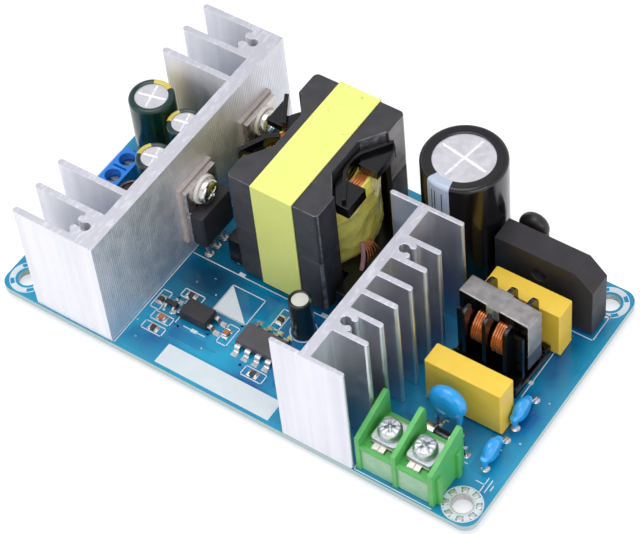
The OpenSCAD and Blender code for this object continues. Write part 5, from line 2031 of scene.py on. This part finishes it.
@dataclass
class SurfaceParts:
    """The controller, the optocoupler, the small transistor and the chip parts."""

    opto_stretch: tuple[float, float, float] = (1.24, 1.2, 1.25)
    thick: float = 0.22
    pitch: float = 2.54
    tall_chip: float = 0.65  # a chip part over this height is a capacitor

    def build(self) -> None:
        """Builds the surface-mounted parts."""
        eased("controller", "controller_moulding", GREY_EPOXY, 0.09)
        eased("small_transistor", "small_transistor_moulding", EPOXY, 0.09)
        opto = solids_of("optocoupler")[0].middle
        foot = at(opto.x, opto.y)

        def grown(point: Vector) -> Vector:
            """Gives the optocoupler its full body."""
            return foot + (point - foot) * Vector(self.opto_stretch)

        copied("optocoupler").bevel(0.09).bend(grown).piece(
            "optocoupler_moulding", EPOXY, ["optocoupler"]
        )
        self.leads()
        tall = [s for s in solids_of("chip_bodies") if s.size.z > self.tall_chip]

        def tan(place: Vector, normal: Vector) -> int:
            """Finds the capacitors among the chip parts."""
            return int(any((place - s.middle).length < 1.2 for s in tall))

        copied("chip_bodies").bevel(0.05).piece(
            "chip_ceramics", DARK_CERAMIC, ["chip_bodies"], tan, [TAN_CERAMIC]
        )
        eased("chip_ends", "chip_terminations", TIN, 0.06)
        self.feet()

    def leads(self) -> None:
        """Builds the gull-wing leads and the solder at their feet."""
        draft, pads = Draft(), Draft()
        body, opto, small = (
            solids_of(node)[0] for node in ("controller", "optocoupler", "small_transistor")
        )
        rows = [(body, Lead(k * self.pitch, turn, body.size.y / 2, 1.15, 5.0, 1.3))
                for k in (-1.5, -0.5, 0.5, 1.5) for turn in (90, 270)]
        rows += [(opto, Lead(k * self.pitch, turn, 3.45, 1.25, 6.0, 1.05))
                 for k in (-0.5, 0.5) for turn in (0, 180)]
        rows += [(small, Lead(x, turn, 0.65, 0.55, 1.9, 0.5))
                 for x, turn in ((0.0, 90), (0.95, 270), (-0.95, 270))]
        for solid, lead in rows:
            x, y = solid.middle.xy
            x, y = (x + lead.offset, y) if lead.turn in (90, 270) else (x, y + lead.offset)
            flat, half = seat(x, y, 0.0, (lead.turn, "Z")), lead.width / 2
            upright = seat(x, y, 0.0, (lead.turn, "Z"), (90, "X"))
            draft.slab(lead.outline(self.thick), upright, -half, half)
            near, far = lead.half + (lead.tip - lead.half) * 0.6, lead.tip + 0.15
            wide = half + 0.1
            pads.slab([(near, -wide), (far, -wide), (far, wide), (near, wide)], flat, 0.0, 0.09)
        draft.bevel(0.05, 1, 50).piece("gull_wing_leads", TIN, ["surface_leads"])
        pads.bevel(0.04).piece("lead_pads", TIN)

    def feet(self) -> None:
        """Adds the sloping solder at the ends of the chip parts."""
        draft = Draft()
        for end in solids_of("chip_ends"):
            for grow, high in ((0.28, 0.1), (0.14, 0.22)):
                reach = end.size.xy / 2 + Vector((grow, grow))
                draft.block(*end.middle.xy - reach, *end.middle.xy + reach, 0.0, high)
        draft.bevel(0.07).piece("chip_solder", TIN)


# ---- studio ------------------------------------------------------------------------------


@dataclass
class Studio:
    """Camera, floor, world and lamps."""

    lens: float = 131.675
    eye: Spot = (0.191116, -0.230468, 0.387711)
    right: Spot = (0.8255349, 0.5596570, -0.0726371)
    down: Spot = (0.4036812, -0.6755388, -0.6169999)
    ahead: Spot = (-0.3943775, 0.4800327, -0.7836039)
    sky: float = 0.56
    glow: float = 0.6  # what the floor adds to the rays that show the background
    reach: float = 6.0  # metres from the floor's middle to its sides
    lamps: tuple[tuple[str, Spot, float, float], ...] = (
        ("top_softbox", (-0.10, -0.05, 0.75), 0.6, 2.75),
        ("left_softbox", (-0.55, -0.6, 0.4), 0.5, 0.85),
        ("right_fill", (0.62, -0.28, 0.3), 0.5, 1.35),
    )

    def build(self) -> None:
        """Builds the studio."""
        bpy.context.scene.view_settings.view_transform = "Standard"
        self.camera()
        self.world()
        self.floor()
        for lamp in self.lamps:
            self.lamp(*lamp)

    def camera(self) -> None:
        """Places the camera: a long lens, high over the near right corner."""
        data = bpy.data.cameras.new("camera")
        data.lens, data.sensor_width, data.sensor_fit = self.lens, 36.0, "HORIZONTAL"
        data.clip_start, data.clip_end = 0.01, 10.0
        made = bpy.data.objects.new("camera", data)
        turn = Matrix((self.right, -Vector(self.down), -Vector(self.ahead))).transposed()
        made.matrix_world = Matrix.Translation(self.eye) @ turn.to_4x4()
        bpy.context.scene.collection.objects.link(made)
        bpy.context.scene.camera = made

    def world(self) -> None:
        """Makes the surroundings: white at the horizon and lavender grey overhead."""
        made = bpy.data.worlds.new("studio")
        bpy.context.scene.world = made
        made.use_nodes = True
        canvas = Canvas(made.node_tree)
        height = canvas.add("SeparateXYZ", [canvas.coords["Generated"]]).outputs[2]
        share = canvas.add("MapRange", [height, 0.25, 0.85, 0.0, 1.0]).outputs[0]
        colours = {0: share, MIX_A: linear("#ffffff"), MIX_B: linear("#cfcfdb")}
        seen = canvas.add("Mix", colours, data_type="RGBA").outputs[MIX_OUT]
        light = *(c * self.sky for c in linear("#fbfbff")[:3]), 1.0
        colours = {0: canvas.shown(), MIX_A: light, MIX_B: seen}
        colour = canvas.add("Mix", colours, data_type="RGBA").outputs[MIX_OUT]
        canvas.add("OutputWorld", [canvas.add("Background", [colour, 1.0]).outputs[0]])

    def floor(self) -> None:
        """Lays a white floor that still shows the object's shadow."""
        data = bpy.data.meshes.new("floor")
        r = self.reach
        data.from_pydata(
            [(-r, -r, 0), (r, -r, 0), (r, r, 0), (-r, r, 0)], [], [(0, 1, 2, 3)]
        )
        made = bpy.data.objects.new("floor", data)
        bpy.context.scene.collection.objects.link(made)
        material = bpy.data.materials.new("white_floor")
        material.use_nodes = True
        canvas = Canvas(material.node_tree)
        matt = canvas.add("BsdfDiffuse", [linear("#c4c4c8")])
        strength = canvas.add("Math", [canvas.shown(), self.glow], operation="MULTIPLY")
        glow = canvas.add("Emission", [(1, 1, 1, 1), strength.outputs[0]])
        both = canvas.add("AddShader", [matt.outputs[0], glow.outputs[0]])
        canvas.add("OutputMaterial", [both.outputs[0]])
        data.materials.append(material)

    def lamp(self, name: str, place: Spot, size: float, watts: float) -> None:
        """Hangs one square soft lamp that faces the model.

        Args:
            name: the lamp's name.
            place: where it hangs, in metres.
            size: its side in metres.
            watts: its power.
        """
        data = bpy.data.lights.new(name, "AREA")
        data.shape, data.size, data.energy = "SQUARE", size, watts
        made = bpy.data.objects.new(name, data)
        made.location = place
        made.rotation_mode = "QUATERNION"
        made.rotation_quaternion = (-Vector(place)).to_track_quat("-Z", "Y")
        bpy.context.scene.collection.objects.link(made)


def main() -> None:
    """Builds the studio and every sub-assembly."""
    logging.basicConfig(level=logging.INFO, format="%(name)s %(message)s")
    Studio().build()
    for group in (
        Board(), Heatsinks(), PowerDevices(), Transformer(), Electrolytics(), FilterInductor(),
        FilmCapacitors(), Choke(), DippedDiscs(), BridgeRectifier(), Fuse(), InputTerminal(),
        OutputTerminal(), SurfaceParts(),
    ):
        LOG.info("building %s", type(group).__name__)
        group.build()


if __name__ == "__main__":
    main()
